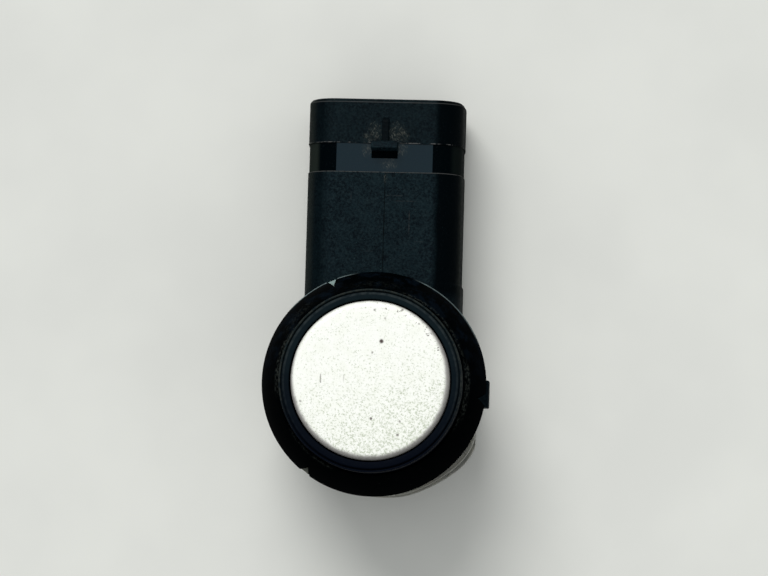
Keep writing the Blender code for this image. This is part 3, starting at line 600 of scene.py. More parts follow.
def shellPlastic():
    look = {
        "plastic": (0.0002, 0.0021, 0.0041),
        "cloud": (0.0046, 0.012, 0.0155),
        "mottle": (0.0105, 0.021, 0.0245),
        "bandReflection": (0.0042, 0.0136, 0.02),
        "dark": (0.0003, 0.0014, 0.0021),
        "reflectedOlive": (0.012, 0.016, 0.0135),
        "scuff": (0.12, 0.125, 0.105),
        "smear": (0.018, 0.024, 0.022),
        "dust": (0.035, 0.05, 0.055),
        "line": (0.12, 0.12, 0.115),
        "cloudNoise": (0.55, 3.0, 0.6, 0.35, 0.68, 0.0, 0.4),
        "pebbleNoise": (4.4, 3.0, 0.85, 0.40, 0.64, 0.0, 0.9),
        "mottleNoise": (3.6, 3.0, 0.8, 0.46, 0.66, 0.0, 0.6),
        "dustNoise": (7.0, 4.0, 0.75, 0.60, 0.74, 0.0, 0.28),
        "brokenNoise": (2.6, 2.0, 0.55, 0.36, 0.6, 0.25, 1.0),
        "top": (10.95, 11.3, 0.1),  # levels of the shell's top face, and how softly they end
        "flatLeft": (-6.7, -5.2, 0.42, 1.0),  # where the top rolls off into a painted shade, and its tone there
        "flatRight": (4.95, 5.85, 1.0, 0.0),
        "reflectionLeft": (-7.6, -7.0, 0.5, 0.0),
        "reflectionRight": (7.6, 8.0, 0.0, 0.3),
        "reflectionFade": (24.0, 25.4, 1.0, 0.3),
        "headFlat": 0.45,
        "headFrom": (9.3, 10.3),
        "mouth": (25.2, 25.4, 0.0, 0.32),
        "band": (22.31, 25.24, 0.02),
        "bandLevel": (11.14, 11.19),
        "bandTop": (10.9, 11.05),
        "bandFlat": (-4.9, 5.0, 0.05),
        "bandLeft": (-7.1, -6.55, 1.0, 0.0),
        "bandRight": (6.7, 7.3, 0.0, 0.3),
        "seamX": (0.145, 0.215, 0.035),
        "seamY": (11.0, 22.1, 0.2),
        "seamTone": (0.0, 0.3, 0.95, 0.6),
        "ribX": (-0.4, 0.6, 0.06),
        "ribY": (25.45, 25.55, 0.0, 0.75),
        "ribLevel": (11.24, 11.3),
        "inside": (-6.9, 6.9, 1.2, 10.0),  # the socket's hollow, x and z
        "lineLevel": (11.22, 11.3),
        "scratches": (0.62, 0.76),
        "shine": 0.13,
        "sheen": (0.01, 0.035),
        "bandShade": 0.003,
        "matt": (0.50, 0.64),
        "polished": (0.16, 0.24),
    }
    place = startMaterial("shell_plastic")
    x, y, z = partsOf(place)
    top = between(z, *look["top"])

    # moulded grain over soft clouds, with a painted shade where the sides roll off
    cloud = patchy(place, look["cloudNoise"])
    both = calc("ADD", cloud, patchy(place, look["pebbleNoise"]), True)
    colour = tint(both, look["plastic"], look["cloud"])
    colour = tint(times(patchy(place, look["mottleNoise"]), top), colour, look["mottle"])
    across = plus(x, varied(place, 0.25, -0.08, 0.08))
    onHead = remap(y, *look["headFrom"], 1.0, 0.0)
    flat = times(remap(across, *look["flatLeft"]), remap(across, *look["flatRight"]))
    flat = blend(onHead, flat, look["headFlat"])
    colour = tint(flat, look["dark"], colour)
    colour = tint(remap(y, *look["mouth"]), colour, look["dark"])
    # a painted olive reflection of the pale floor along the far sides of the socket
    rightEdge = times(remap(x, *look["reflectionRight"]), remap(y, *look["reflectionFade"]))
    sideReflection = plus(remap(x, *look["reflectionLeft"]), rightEdge)
    colour = tint(times(sideReflection, inverse(onHead)), colour, look["reflectedOlive"])

    # the band is polished: a painted pale reflection on its flat between two panels of painted
    # shade
    band = times(between(y, *look["band"]), remap(z, *look["bandLevel"], 1.0, 0.0))
    bandFlat = times(band, remap(z, *look["bandTop"]), between(x, *look["bandFlat"]))
    colour = tint(band, colour, look["dark"])
    colour = tint(bandFlat, colour, look["bandReflection"])
    # and painted olive reflections of the floor on the band's far sides
    bandSide = plus(remap(x, *look["bandLeft"]), remap(x, *look["bandRight"]))
    colour = tint(times(band, bandSide), colour, look["reflectedOlive"])

    # the mould's seam and the rib are darker than the plastic round them
    seamLine = times(between(x, *look["seamX"]), between(y, *look["seamY"]), top)
    seamLine = times(seamLine, remap(cloud, *look["seamTone"]))
    ribMask = times(between(x, *look["ribX"]), remap(z, *look["ribLevel"]))
    ribMask = times(ribMask, remap(y, *look["ribY"]))
    colour = tint(highest(seamLine, ribMask), colour, look["dark"])

    # dust, and scratches that gather in the scuffed patches
    colour = tint(patchy(place, look["dustNoise"]), colour, look["dust"])
    patch = times(scuffMask(place), top)
    colour = tint(times(patch, 0.2), colour, look["smear"])
    scratch = 0.0
    for angle in scuffAngles:
        drawn = plus(streaks(x, y, angle), times(patch, 0.10))
        scratch = highest(scratch, remap(drawn, *look["scratches"]))
    clear = times(remap(patch, 0.0, 0.5, 0.05, 0.58), top)
    broken = patchy(place, look["brokenNoise"])
    colour = tint(times(scratch, clear, broken), colour, look["scuff"])
    nick = times(boxMask(x, y, shellNick, 0.06), top, 0.6)
    colour = tint(nick, colour, look["dark"])
    marks = 0.0
    for *limits, strength in shellMarks:
        marks = highest(marks, times(boxMask(x, y, limits, 0.05), strength))
    colour = tint(times(marks, top, broken), colour, look["line"])

    # worn edges, with a painted highlight, run round the outside, below the rib and the nose
    inside = boxMask(x, z, look["inside"], 0.1)
    outside = times(remap(z, *look["lineLevel"], 1.0, 0.0), inverse(inside))
    wearAndHighlight = 0.0
    for back, front, gaps, strength in shellLines:
        ragged = remap(grain(place, 1.8, 3.0, 0.7), gaps, gaps + 0.18, 0.0, strength)
        wearAndHighlight = highest(wearAndHighlight, times(between(y, back, front, 0.03), ragged, outside))
    colour = tint(wearAndHighlight, colour, look["line"])

    shine = plus(times(bandFlat, look["shine"]), look["bandShade"])
    gloss = blend(band, remap(flat, 0.0, 1.0, *look["sheen"]), shine)
    matt = varied(place, 2.5, *look["matt"])
    rough = blend(bandFlat, matt, varied(place, 1.2, *look["polished"]))
    leather = times(grain(place, 9.0, 4.0, 0.65), remap(band, 0.0, 1.0, 1.0, 0.15))
    return finishMaterial(colour, rough, leather, 0.018, {"Specular IOR Level": gloss})


def clearSilicone():
    look = {
        "clear": (0.50, 0.505, 0.445),
        "grime": (0.39, 0.38, 0.31),
        "lipLine": (0.055, 0.055, 0.04),
        "grimeNoise": (0.45, 2.0, 0.5, 0.40, 0.66),
        "moteNoise": (3.2, 2.0, 0.55, 0.68, 0.76, 0.0, 0.5),
        "lipLevels": ((15.62, 16.08), (14.95, 15.05), (12.3, 12.6)),
        "lipRadius": (10.9, 11.1, 0.0, 0.8),
        "cornerX": (2.0, 6.0),  # where the pressed-out corner starts
        "cornerY": (-7.0, -4.0),
        "nibLit": (0.27, 0.38, 0.36),
        "nibShaded": (0.075, 0.078, 0.055),
        "nibStart": (16.25, 16.55),
        "see": (0.80, 0.62),
        "rough": (0.26, 0.40),
    }
    optics = {"IOR": 1.41, "Specular IOR Level": 0.4}
    place = startMaterial("clear_silicone_skin", optics)
    x, y, z = partsOf(place)
    dirty = patchy(place, look["grimeNoise"])
    colour = tint(dirty, look["clear"], look["grime"])
    colour = tint(patchy(place, look["moteNoise"]), colour, look["lipLine"])
    lipShadeLines = 0.0
    for low, high in look["lipLevels"]:
        lipShadeLines = highest(lipShadeLines, between(z, low, high, 0.08))
    # only the pressed-out corner gets painted shade lines along its lips
    corner = times(remap(x, *look["cornerX"]), remap(y, *look["cornerY"], 1.0, 0.0))
    lipShadeLines = times(lipShadeLines, remap(radiusOf(place), *look["lipRadius"]), corner)
    colour = tint(lipShadeLines, colour, look["lipLine"])
    # the upper nib gets a painted lit tone and the lower nib a painted shaded tone
    nib = remap(z, *look["nibStart"])
    nibLitAndShaded = tint(remap(y, -2.0, 2.0), look["nibShaded"], look["nibLit"])
    colour = tint(nib, colour, nibLitAndShaded)
    see = calc("SUBTRACT", remap(dirty, 0.0, 1.0, *look["see"]), times(lipShadeLines, 0.5))
    see = times(see, remap(nib, 0, 1, 1, 0.15))
    rough = varied(place, 1.0, *look["rough"])
    relief = grain(place, 1.2, 1.0)
    return finishMaterial(colour, rough, relief, 0.006, {"Transmission Weight": see})


def tinPlate(name, colour, smudge):
    place = startMaterial(name, {"Metallic": 1.0})
    wearAndHighlight = patchy(place, (2.4, 4.0, 0.65, 0.42, 0.7, 0.0, 0.6))
    drawn = grain(stretched(place, (9.0, 0.7, 9.0)), 1.5, 4.0, 0.6)
    rough = remap(drawn, 0.3, 0.7, 0.2, 0.38)
    return finishMaterial(tint(wearAndHighlight, colour, smudge), rough, drawn, 0.01)


# Materials of the pieces inside: two tones in a grain, a range of roughness and a fine relief
def innerMaterial(name, light, dark, scale, rough, relief):
    place = startMaterial(name)
    colour = tint(patchy(place, (scale, 4.0, 0.65, 0.35, 0.68)), light, dark)
    wear = varied(place, scale * 2, *rough)
    return finishMaterial(colour, wear, grain(place, scale * 3), relief)


# Fine turns of enamelled wire round the drum
def windingCopper():
    look = {"bright": (0.72, 0.32, 0.14), "dull": (0.50, 0.19, 0.08), "wire": 0.16}
    place = startMaterial("winding_copper", {"Metallic": 1.0})
    turns = calc("SINE", times(partsOf(place)[2], 2 * math.pi / look["wire"]))
    colour = tint(varied(place, 2.0, 0.0, 1.0), look["bright"], look["dull"])
    return finishMaterial(colour, remap(turns, -1.0, 1.0, 0.42, 0.26), turns, 0.05)


# Solder mask over slanting tracks
def boardMask():
    look = {
        "mask": (0.010, 0.085, 0.030),
        "track": (0.020, 0.150, 0.050),
        "pitch": 0.9,
        "slant": 0.6,
    }
    place = startMaterial("board_mask", {"Specular IOR Level": 0.5})
    x, y = partsOf(place)[:2]
    cell = calc("PINGPONG", plus(x, times(y, look["slant"])), look["pitch"])
    broken = patchy(place, (0.5, 1.0, 0.55, 0.48, 0.52))
    copper = times(remap(cell, 0.28, 0.34), broken)
    colour = tint(copper, look["mask"], look["track"])
    return finishMaterial(colour, varied(place, 2.0, 0.3, 0.42), copper, 0.03)


print("materials ready")


# Transducer cup with the painted membrane

cup = {
    "radius": 8.0,
    "top": 23.4,
    "edge": 0.7,
    "rimBottom": 21.2,
    "rimEdge": 0.12,
    "wallRadius": 7.0,
    "wallEdge": 0.1,
    "bore": 6.1,
    "bottom": 14.2,
    "back": 22.7,
    "backFillet": 0.3,
    "steps": 288,
}


def buildCup():
    flat = cup["radius"] - cup["edge"]
    face = [(flat * i / 6, cup["top"]) for i in range(6)]
    corners = face + profile(
        cup,
        ("radius", "top", "edge"),
        ("radius", "rimBottom", "rimEdge"),
        ("wallRadius", "rimBottom", "wallEdge"),
        ("wallRadius", "bottom", "wallEdge"),
        ("bore", "bottom", "wallEdge"),
        ("bore", "back", "backFillet"),
        (0, "back"),
    )
    piece = turnedPiece("cup_with_membrane", rounded(corners, steps=8), cup["steps"])
    finishPiece(piece, membranePaint(), ["transducer_cup"])


# Decoupling ring: the matt rubber that holds the cup and fills the gap to the cone

neck = {
    "mouth": 8.15,
    "radius": 9.2,
    "top": 23.1,
    "innerEdge": 0.1,
    "faceEdge": 0.28,
    "grooveInner": 8.88,
    "grooveOuter": 9.02,
    "grooveDepth": 0.35,
    "grooveFillet": 0.04,
    "lipEdge": 0.07,
    "flangeRadius": 9.4,
    "flangeTop": 19.1,
    "flangeBottom": 18.5,
    "chamber": 8.1,
    "bottom": 13.4,
    "bottomFillet": 0.2,
    "floorBore": 6.1,
    "floorTop": 13.9,
    "bore": 7.3,
    "mouthBottom": 20.9,
    "fillet": 0.1,
    "smallFillet": 0.05,
    "wander": 0.035,
    "steps": 256,
}


def buildNeck():
    grooveBottom = neck["top"] - neck["grooveDepth"]
    corners = profile(
        neck,
        ("grooveInner", "top", "faceEdge"),
        ("grooveInner", grooveBottom, "grooveFillet"),
        ("grooveOuter", grooveBottom, "grooveFillet"),
        ("grooveOuter", "top", "lipEdge"),
        ("radius", "top", "lipEdge"),
        ("radius", "flangeTop", "fillet"),
        ("flangeRadius", "flangeTop", "smallFillet"),
        ("flangeRadius", "flangeBottom", "smallFillet"),
        ("chamber", "flangeBottom", "smallFillet"),
        ("chamber", "bottom", "bottomFillet"),
        ("floorBore", "bottom", "fillet"),
        ("floorBore", "floorTop", "smallFillet"),
        ("bore", "floorTop", "fillet"),
        ("bore", "mouthBottom", "smallFillet"),
        ("mouth", "mouthBottom", "smallFillet"),
        ("mouth", "top", "innerEdge"),
    )

    # the soft lip and groove wander by a few hundredths round the ring
    def uneven(radius, height, turn):
        if height < grooveBottom - 0.1 or radius < neck["mouth"] + 0.2:
            return radius
        wave = noise.noise(Vector((math.cos(turn) * 3, math.sin(turn) * 3, 1.7)))
        return radius - neck["wander"] * abs(wave)

    piece = turnedPiece("rubber_neck", rounded(corners), neck["steps"], uneven)
    finishPiece(piece, neckRubber(), ["decoupling_ring"])


# Retaining ring: the glossy cone with three notches that flare out to its edge

cone = {
    "radius": 11.4,
    "bore": 9.35,
    "land": 0.12,
    "landEdge": 0.04,
    "top": 20.6,
    "edgeTop": 17.1,
    "bottom": 16.5,
    "edge": 0.1,
    "lipBottom": 19.4,
    "skirt": 9.7,
    "skirtEdge": 0.05,
    "belly": 0.12,
    "bellyAlong": (0.87, 0.49),  # outwards and upwards
    "notchDepth": 0.92,
    "notchWidth": 1.3,
    "notchPower": 1.5,
    "notchFlare": 1.4,
    "notchAngles": (113.6, 233.6, 353.6),
    "steps": 360,
}


# Outline of a notch about the +X direction, widening by a curve from its tip to the rim
def notchOutline(gap, outer, steps=12):
    tip = cone["radius"] - cone["notchDepth"] + gap * 1.6
    side = []
    for i in range(steps + 1):
        share = i / steps
        radius = tip + (cone["radius"] - tip) * share
        half = (cone["notchWidth"] / 2 - gap) * share ** cone["notchPower"]
        side.append((radius, half))
    wide = side[-1][1]
    if outer > cone["radius"]:
        side.append((outer, wide + (outer - cone["radius"]) * cone["notchFlare"]))
    else:
        side = [point for point in side if point[0] <= outer]
    return side + [(radius, -half) for radius, half in reversed(side[1:])]


def notchSlab(name, angle, gap, outer, low, high):
    piece = slab(name, notchOutline(gap, outer), low, high, upright)
    piece.data.transform(Matrix.Rotation(math.radians(angle), 4, "Z"))
    return piece


def buildCone():
    inner = cone["bore"] + cone["land"]
    slopeRadius = cone["radius"] - cone["bore"] - cone["land"]
    slopeHeight = cone["top"] - cone["edgeTop"]
    outwards, upwards = cone["bellyAlong"]
    rise = []
    for i in range(1, 8):
        share = i / 8
        bulge = cone["belly"] * math.sin(math.pi * share)
        radius = inner + slopeRadius * share + bulge * outwards
        rise.append((radius, cone["top"] - slopeHeight * share + bulge * upwards))
    corners = [(inner, cone["top"], cone["landEdge"])] + rise + profile(
        cone,
        ("radius", "edgeTop", "edge"),
        ("radius", "bottom", "edge"),
        ("skirt", "bottom", "skirtEdge"),
        ("skirt", "lipBottom", "skirtEdge"),
        ("bore", "lipBottom", "skirtEdge"),
        ("bore", cone["top"] - cone["land"], "landEdge"),
    )
    piece = turnedPiece("gloss_cone", rounded(corners, steps=3), cone["steps"])
    cutters = []
    for i, angle in enumerate(cone["notchAngles"], 1):
        low, high = cone["bottom"] - 1, cone["top"] + 1
        cutters.append(notchSlab(f"notch_{i}", angle, 0, cone["radius"] + 0.6, low, high))
    combine(piece, cutters, "DIFFERENCE")
    finishPiece(piece, coneGloss(), ["retaining_ring"])


# Seal ring: clear silicone with two lips, flat on two sides, pressed out at one corner

seal = {
    "radius": 11.25,
    "root": 10.6,
    "inner": 9.7,
    "bottom": 12.3,
    "top": 16.2,
    "groove": 1.3,
    "slope": 0.33,
    "outerFillet": 0.32,
    "lipFillet": 0.3,
    "rootFillet": 0.2,
    "innerFillet": 0.1,
    "flat": 10.3,
    "waver": 0.03,
    "bulges": ((-37, 15, 0.74), (-55, 12, 0.26), (-72, 14, 0.34)),  # angle, spread, height
    "bulgeLevels": (0.66, 0.4),  # share of a bulge at the top, and what the bottom adds
    "nibTop": 17.5,
    "nibGap": 0.08,
    "steps": 256,
}


def sealBend(radius, height, turn):
    share = (radius - seal["inner"]) / (seal["radius"] - seal["inner"])
    wave = noise.noise(Vector((math.cos(turn) * 4, math.sin(turn) * 4, height * 0.3)))
    push = seal["waver"] * wave
    lower = (seal["top"] - height) / (seal["top"] - seal["bottom"])
    least, more = seal["bulgeLevels"]
    for angle, spread, amount in seal["bulges"]:
        off = (math.degrees(turn) - angle + 180) % 360 - 180
        push += amount * math.exp(-((off / spread) ** 2)) * (least + more * lower)
    return radius + max(0.0, share) * push


def buildSeal():
    middle = (seal["bottom"] + seal["top"]) / 2
    low = middle - seal["groove"] / 2
    high = middle + seal["groove"] / 2
    corners = profile(
        seal,
        ("radius", "top", "outerFillet"),
        ("radius", high + seal["slope"], "lipFillet"),
        ("root", high, "rootFillet"),
        ("root", low, "rootFillet"),
        ("radius", low - seal["slope"], "lipFillet"),
        ("radius", "bottom", "outerFillet"),
        ("inner", "bottom", "innerFillet"),
        ("inner", "top", "innerFillet"),
    )
    piece = turnedPiece("clear_seal", rounded(corners), seal["steps"], sealBend)
    nibs = []
    for i, angle in enumerate(cone["notchAngles"][:2], 1):
        gap = seal["nibGap"]
        outer, bottom = cone["radius"] - gap, seal["top"] - 0.3
        nibs.append(notchSlab(f"nib_{i}", angle, gap, outer, bottom, seal["nibTop"]))
    combine(piece, nibs, "UNION")
    blocks = []
    for side in (-1, 1):
        near, far = side * seal["flat"], side * 14
        outline = [(near, -14), (far, -14), (far, 14), (near, 14)]
        blocks.append(slab(f"flat_{side}", outline, seal["bottom"] - 1, seal["top"] + 1, upright))
    combine(piece, blocks, "DIFFERENCE")
    finishPiece(piece, clearSilicone(), ["seal_ring"])


# Housing: head tube, socket shell with its polished band, latch nose, rib, seam and lugs

head = {
    "radius": 10.2,
    "shoulder": 12.0,
    "spigot": 9.4,
    "spigotTop": 18.2,
    "spigotFillet": 0.15,
    "edge": 0.3,
    "chamber": 8.4,
    "chamberFillet": 0.2,
    "webTop": 13.1,
    "webBottom": 11.6,
    "hole": 3.0,
    "steps": 256,
    "hollowSteps": 192,
}

shell = {
    "halfWidth": 8.15,
    "height": 11.2,
    "corner": 3.0,
    "draft": 0.12,
    "wall": 1.3,
    "mouth": 29.9,
    "chamfer": 0.35,
    "bandBack": 22.3,
    "bandFront": 25.25,
    "bandDepth": 0.1,
    "rootEnd": 10.8,
    "rootStep": 0.15,
    "socketEnd": 19.3,
    "flash": 0.06,
    "lipFlash": 0.045,
    "sideSteps": 44,
    "cornerSteps": 12,
}

pocket = {  # radius, half width, end and top of each level
    "levels": ((8.9, 6.85, 16.6, 1.3), (8.4, 6.35, 16.1, 4.3), (7.6, 5.55, 15.3, 9.9)),
    "corner": 1.2,
}

# Outlines of the nose and the rib are y, height over the shell's top, and fillet
nose = {
    "width": 2.72,
    "middle": 0.05,
    "outline": (
        (24.45, -0.5), (25.42, -0.5), (25.42, 0.85, 0.1), (24.66, 1.2, 0.1), (24.45, 0.75, 0.08),
    ),
    "edge": 0.1,
    "hollow": (23.69, 24.45),  # the sunken floor behind the nose, from y, to y
    "hollowDepth": 0.4,
}
rib = {
    "width": 0.7,
    "middle": 0.1,
    "outline": ((25.1, -0.5), (28.0, -0.5), (28.0, 0.0), (27.55, 0.45, 0.5), (25.1, 0.45)),
    "edge": 0.12,
}
seam = {"width": 0.09, "middle": 0.18, "height": 0.035, "back": 11.0, "front": 22.2}
lugs = {
    "reach": 11.4,
    "root": 9.55,
    "width": 2.8,
    "setback": 0.3,
    "bottom": 7.0,
    "top": 9.3,
    "ramp": 1.5,
    "edge": 0.2,
}


# Rounded rectangle with sides that swell a little; widen moves its right side out,
# and lift raises its upper half along the outline
def shellSection(y, inset, widen=0.0, lift=None):
    half = shell["halfWidth"] - inset
    corner = max(0.2, shell["corner"] - inset)
    low = inset + corner
    high = shell["height"] - inset - corner
    middle = half - shell["draft"] - corner
    quarter = math.pi / 2
    outline = []
    centres = ((middle, high, 0), (-middle, high, 1), (-middle, low, 2), (middle, low, 3))
    for i, (x, z, turn) in enumerate(centres):
        for k in range(shell["cornerSteps"] + 1):
            angle = (turn + k / shell["cornerSteps"]) * quarter
            outline.append(Vector((x + corner * math.cos(angle), z + corner * math.sin(angle))))
        start = outline[-1]
        nextX, nextZ = centres[(i + 1) % 4][:2]
        stopAngle = (turn + 1) * quarter
        stop = Vector((nextX + corner * math.cos(stopAngle), nextZ + corner * math.sin(stopAngle)))
        for k in range(1, shell["sideSteps"]):
            share = k / shell["sideSteps"]
            point = start.lerp(stop, share)
            if i % 2:
                point.x += math.copysign(shell["draft"], point.x) * math.sin(math.pi * share)
            outline.append(point)
    centre = Vector((0, shell["height"] / 2))
    section = []
    for i, point in enumerate(outline):
        if lift:
            outward = (point - centre).normalized()
            point = point + outward * lift(i * 0.25) * point.y / shell["height"]
        right = min(1.0, max(0.0, point.x / shell["halfWidth"]))
        section.append((point.x + widen * right, y, point.y))
    return section


# Moulding flash that comes and goes along an edge
def flashLift(seed, amount):
    def lift(along):
        coarse = noise.noise(Vector((along * 0.45, seed, 0.3)))
        fine = noise.noise(Vector((along * 2.1, seed, 4.1)))
        return amount * max(0.0, 0.35 + coarse + 0.7 * fine)

    return lift


def buildShellSolid():
    front, back, depth = shell["bandFront"], shell["bandBack"], shell["bandDepth"]
    mouth, chamfer = shell["mouth"], shell["chamfer"]
    root, step = shell["rootEnd"], shell["rootStep"]
    ragged = flashLift(2.0, shell["flash"])
    lip = flashLift(7.0, shell["lipFlash"])
    rows = (  # y, inset, widening, lift
        (0, 0, step),
        (root - 0.1, 0, step),
        (root + 0.02, 0, step - 0.03),
        (root + step, 0, 0.02),
        (root + step + 0.1, 0),
        (back - 0.09, 0),
        (back - 0.03, 0.018),
        (back, 0.06),
        (back + 0.01, depth),
        (front - 0.03, depth),
        (front, 0.02, 0, ragged),
        (front + 0.06, 0, 0, ragged),
        (front + 0.16, 0),
        (mouth - chamfer - 0.12, 0),
        (mouth - chamfer, 0.02, 0, lip),
        (mouth - chamfer * 0.55, 0.12, 0, lip),
        (mouth - chamfer * 0.15, 0.28),
        (mouth, 0.45),
    )
    return loft("shell_solid", [shellSection(*row) for row in rows])


def buildSocketHollow():
    wall, mouth, end = shell["wall"], shell["mouth"], shell["socketEnd"]
    rows = (  # y, inset
        (end, wall + 0.15),
        (end + 0.15, wall),
        (mouth - 0.35, wall),
        (mouth - 0.1, wall - 0.12),
        (mouth + 0.6, wall - 0.35),
    )
    return loft("socket_hollow", [shellSection(*row) for row in rows])


# A circle with a straight-sided tongue towards +Y
def keyhole(radius, half, end, corner, steps=64):
    side = math.asin(half / radius)
    points = []
    for i in range(steps + 1):
        angle = math.pi / 2 + side + (2 * math.pi - 2 * side) * i / steps
        points.append((radius * math.cos(angle), radius * math.sin(angle)))
    tongue = [points[-1], (half, end, corner), (-half, end, corner), points[0]]
    return points + [tuple(point) for point in rounded(tongue, closed=False)[1:-1]]


# A block across the shell's middle line
def ridge(name, sizes, outline, steps=5):
    corners = [(y, shell["height"] + height, *fillet) for y, height, *fillet in outline]
    left = sizes["middle"] - sizes["width"] / 2
    return slab(name, rounded(corners, steps=steps), left, left + sizes["width"], acrossX)


def buildRidges():
    top = shell["height"]
    left = seam["middle"] - seam["width"] / 2
    right = left + seam["width"]
    seamCorners = [
        (left, top - 0.3),
        (right, top - 0.3),
        (right, top + seam["height"] - 0.01, 0.02),
        (left, top + seam["height"], 0.02),
    ]
    return [
        soften(ridge("nose", nose, nose["outline"], 4), nose["edge"]),
        soften(ridge("rib", rib, rib["outline"]), rib["edge"], 2),
        slab("seam", rounded(seamCorners, steps=2), seam["back"], seam["front"], alongY),
    ]


def buildLugs():
    back = -lugs["setback"] - lugs["width"] / 2
    blocks = []
    for side in (1, -1):
        corners = [
            (side * lugs["root"], lugs["bottom"]),
            (side * lugs["reach"], lugs["bottom"], 0.12),
            (side * lugs["reach"], lugs["top"], 0.3),
            (side * lugs["root"], lugs["top"] + lugs["ramp"]),
        ]
        outline = rounded(corners, steps=3)
        block = slab(f"lug_{side}", outline, back, back + lugs["width"], alongY)
        blocks.append(soften(block, lugs["edge"]))
    return blocks


def terminalX(i):
    low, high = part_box(f"plug_terminal_{i}")
    return (low.x + high.x) / 2 / mm


# Chamber and web of the head, socket, pocket at the back, hollow behind the nose
# and the holes of the terminals
def buildHollows():
    above = head["spigotTop"] + 1
    wide, below = pocket["levels"][2][0], pocket["levels"][2][3] - 2
    hollow = profile(
        head,
        (0, above),
        ("chamber", above),
        ("chamber", "webTop", "chamberFillet"),
        ("hole", "webTop"),
        ("hole", "webBottom"),
        (wide, "webBottom"),
        (wide, below),
        (0, below),
    )
    headHollow = turnedPiece("head_hollow", rounded(hollow), head["hollowSteps"])
    cutters = [headHollow, buildSocketHollow()]
    for i, (radius, half, end, top) in enumerate(pocket["levels"], 1):
        outline = keyhole(radius, half, end, pocket["corner"])
        cutters.append(slab(f"pocket_{i}", outline, -1, top, upright))
    start, stop = nose["hollow"]
    depth = nose["hollowDepth"]
    cutters.append(ridge("relief", nose, [(start, -depth), (stop, -depth), (stop, 0), (start, 0)]))
    for i in (1, 2, 3):
        hole = square(terminalX(i), shell["height"] / 2, terminal["hole"] / 2)
        cutters.append(slab(f"terminal_hole_{i}", hole, *terminal["holeSpan"], alongY))
    return cutters


def buildHousing():
    outer = profile(
        head,
        (0, "spigotTop"),
        ("spigot", "spigotTop", "edge"),
        ("spigot", "shoulder", "spigotFillet"),
        ("radius", "shoulder", "edge"),
        ("radius", 0, "edge"),
        (0, 0),
    )
    piece = turnedPiece("housing_body", rounded(outer), head["steps"])
    combine(piece, [buildShellSolid(), *buildRidges(), *buildLugs()], "UNION")
    combine(piece, buildHollows(), "DIFFERENCE")
    finishPiece(piece, shellMaterial, ["housing"], 30)


# Rear cover: welded plate flush with the back

cover = {"radius": 8.6, "half": 6.55, "end": 16.3, "corner": 1.2, "thickness": 1.0, "edge": 0.12}


def buildCover():
    outline = keyhole(cover["radius"], cover["half"], cover["end"], cover["corner"])
    piece = slab("back_plate", outline, 0, cover["thickness"], upright)
    soften(piece, cover["edge"], 2)
    finishPiece(piece, shellMaterial, ["rear_cover"])


# Plug terminals: square pins with a four-sided point and a round bend down to the board

terminal = {
    "size": 0.64,
    "level": 5.6,
    "tip": 25.3,
    "point": 0.6,
    "tipSize": 0.26,
    "bend": 13.3,
    "bendRadius": 0.7,
    "tail": 2.2,
    "edge": 0.04,
    "hole": 1.24,
    "holeSpan": (14.3, 20.3),
}


def buildTerminals():
    metal = tinPlate("terminal_tin", (0.70, 0.69, 0.66), (0.42, 0.40, 0.36))
    half, level = terminal["size"] / 2, terminal["level"]
    bend, tip = terminal["bend"], terminal["tip"]
    for i in (1, 2, 3):
        x = terminalX(i)
        corners = [
            (bend, terminal["tail"]),
            (bend, level, terminal["bendRadius"]),
            (tip - terminal["point"], level),
        ]
        spine = rounded(corners, closed=False, steps=8)
        sections = []
        for k, point in enumerate(spine):
            ahead = spine[min(k + 1, len(spine) - 1)] - spine[max(k - 1, 0)]
            across = Vector((-ahead.y, ahead.x)).normalized() * half
            inner, outer = point - across, point + across
            ring = [(x - half, inner), (x + half, inner), (x + half, outer), (x - half, outer)]
            sections.append([(a, corner.x, corner.y) for a, corner in ring])
        sections.append([(a, tip, b) for a, b in square(x, level, terminal["tipSize"] / 2)])
        piece = soften(loft(f"terminal_pin_{i}", sections), terminal["edge"], 2)
        finishPiece(piece, metal, [f"plug_terminal_{i}"])


shellMaterial = shellPlastic()
buildCup()
buildNeck()
buildCone()
buildSeal()
buildHousing()
buildCover()
buildTerminals()
print("visible pieces built")


# Pieces inside keep their modelled shapes and get their own finishes

innerLooks = {  # name, two tones, grain, range of roughness, depth of the relief
    "piezo_ceramic":
        ("fired_ceramic", (0.60, 0.55, 0.42), (0.48, 0.43, 0.30), 2.0, (0.4, 0.55), 0.01),
    "absorber_foam":
        ("grey_foam", (0.055, 0.055, 0.058), (0.018, 0.018, 0.02), 4.0, (0.85, 0.98), 0.12),
    "potting_compound":
        ("cast_compound", (0.34, 0.35, 0.35), (0.26, 0.27, 0.28), 0.8, (0.3, 0.45), 0.01),
    "chip_resin":
        ("moulded_resin", (0.014, 0.014, 0.015), (0.008, 0.008, 0.009), 5.0, (0.45, 0.6), 0.01),
    "ferrite":
        ("sintered_ferrite", (0.034, 0.034, 0.037), (0.02, 0.02, 0.022), 6.0, (0.45, 0.65), 0.015),
    "capacitor_body":
        ("capacitor_clay", (0.32, 0.20, 0.11), (0.24, 0.14, 0.07), 4.0, (0.35, 0.5), 0.008),
}
innerFinishes = {slotName: innerMaterial(*look) for slotName, look in innerLooks.items()}
innerFinishes["tinned_metal"] = tinPlate("contact_tin", (0.72, 0.72, 0.70), (0.48, 0.47, 0.45))
innerFinishes["board_laminate"] = boardMask()
innerFinishes["copper_wire"] = windingCopper()

replaced = {
    "housing", "rear_cover", "transducer_cup", "decoupling_ring", "retaining_ring", "seal_ring",
    "plug_terminal_1", "plug_terminal_2", "plug_terminal_3",
}

for part in frame["record"]["subparts"]:
    if part["node"] in replaced:
        continue
    node = frame["nodes"][part["node"]]
    finish = innerFinishes[part["material_slot"]]
    if not node.material_slots:
        node.data.materials.append(finish)
    for materialSlot in node.material_slots:
        materialSlot.material = finish
print("inner finishes set")


# Floor, light and camera

floorLook = {"radius": 4000, "light": (0.72, 0.725, 0.68), "dark": (0.68, 0.685, 0.645)}


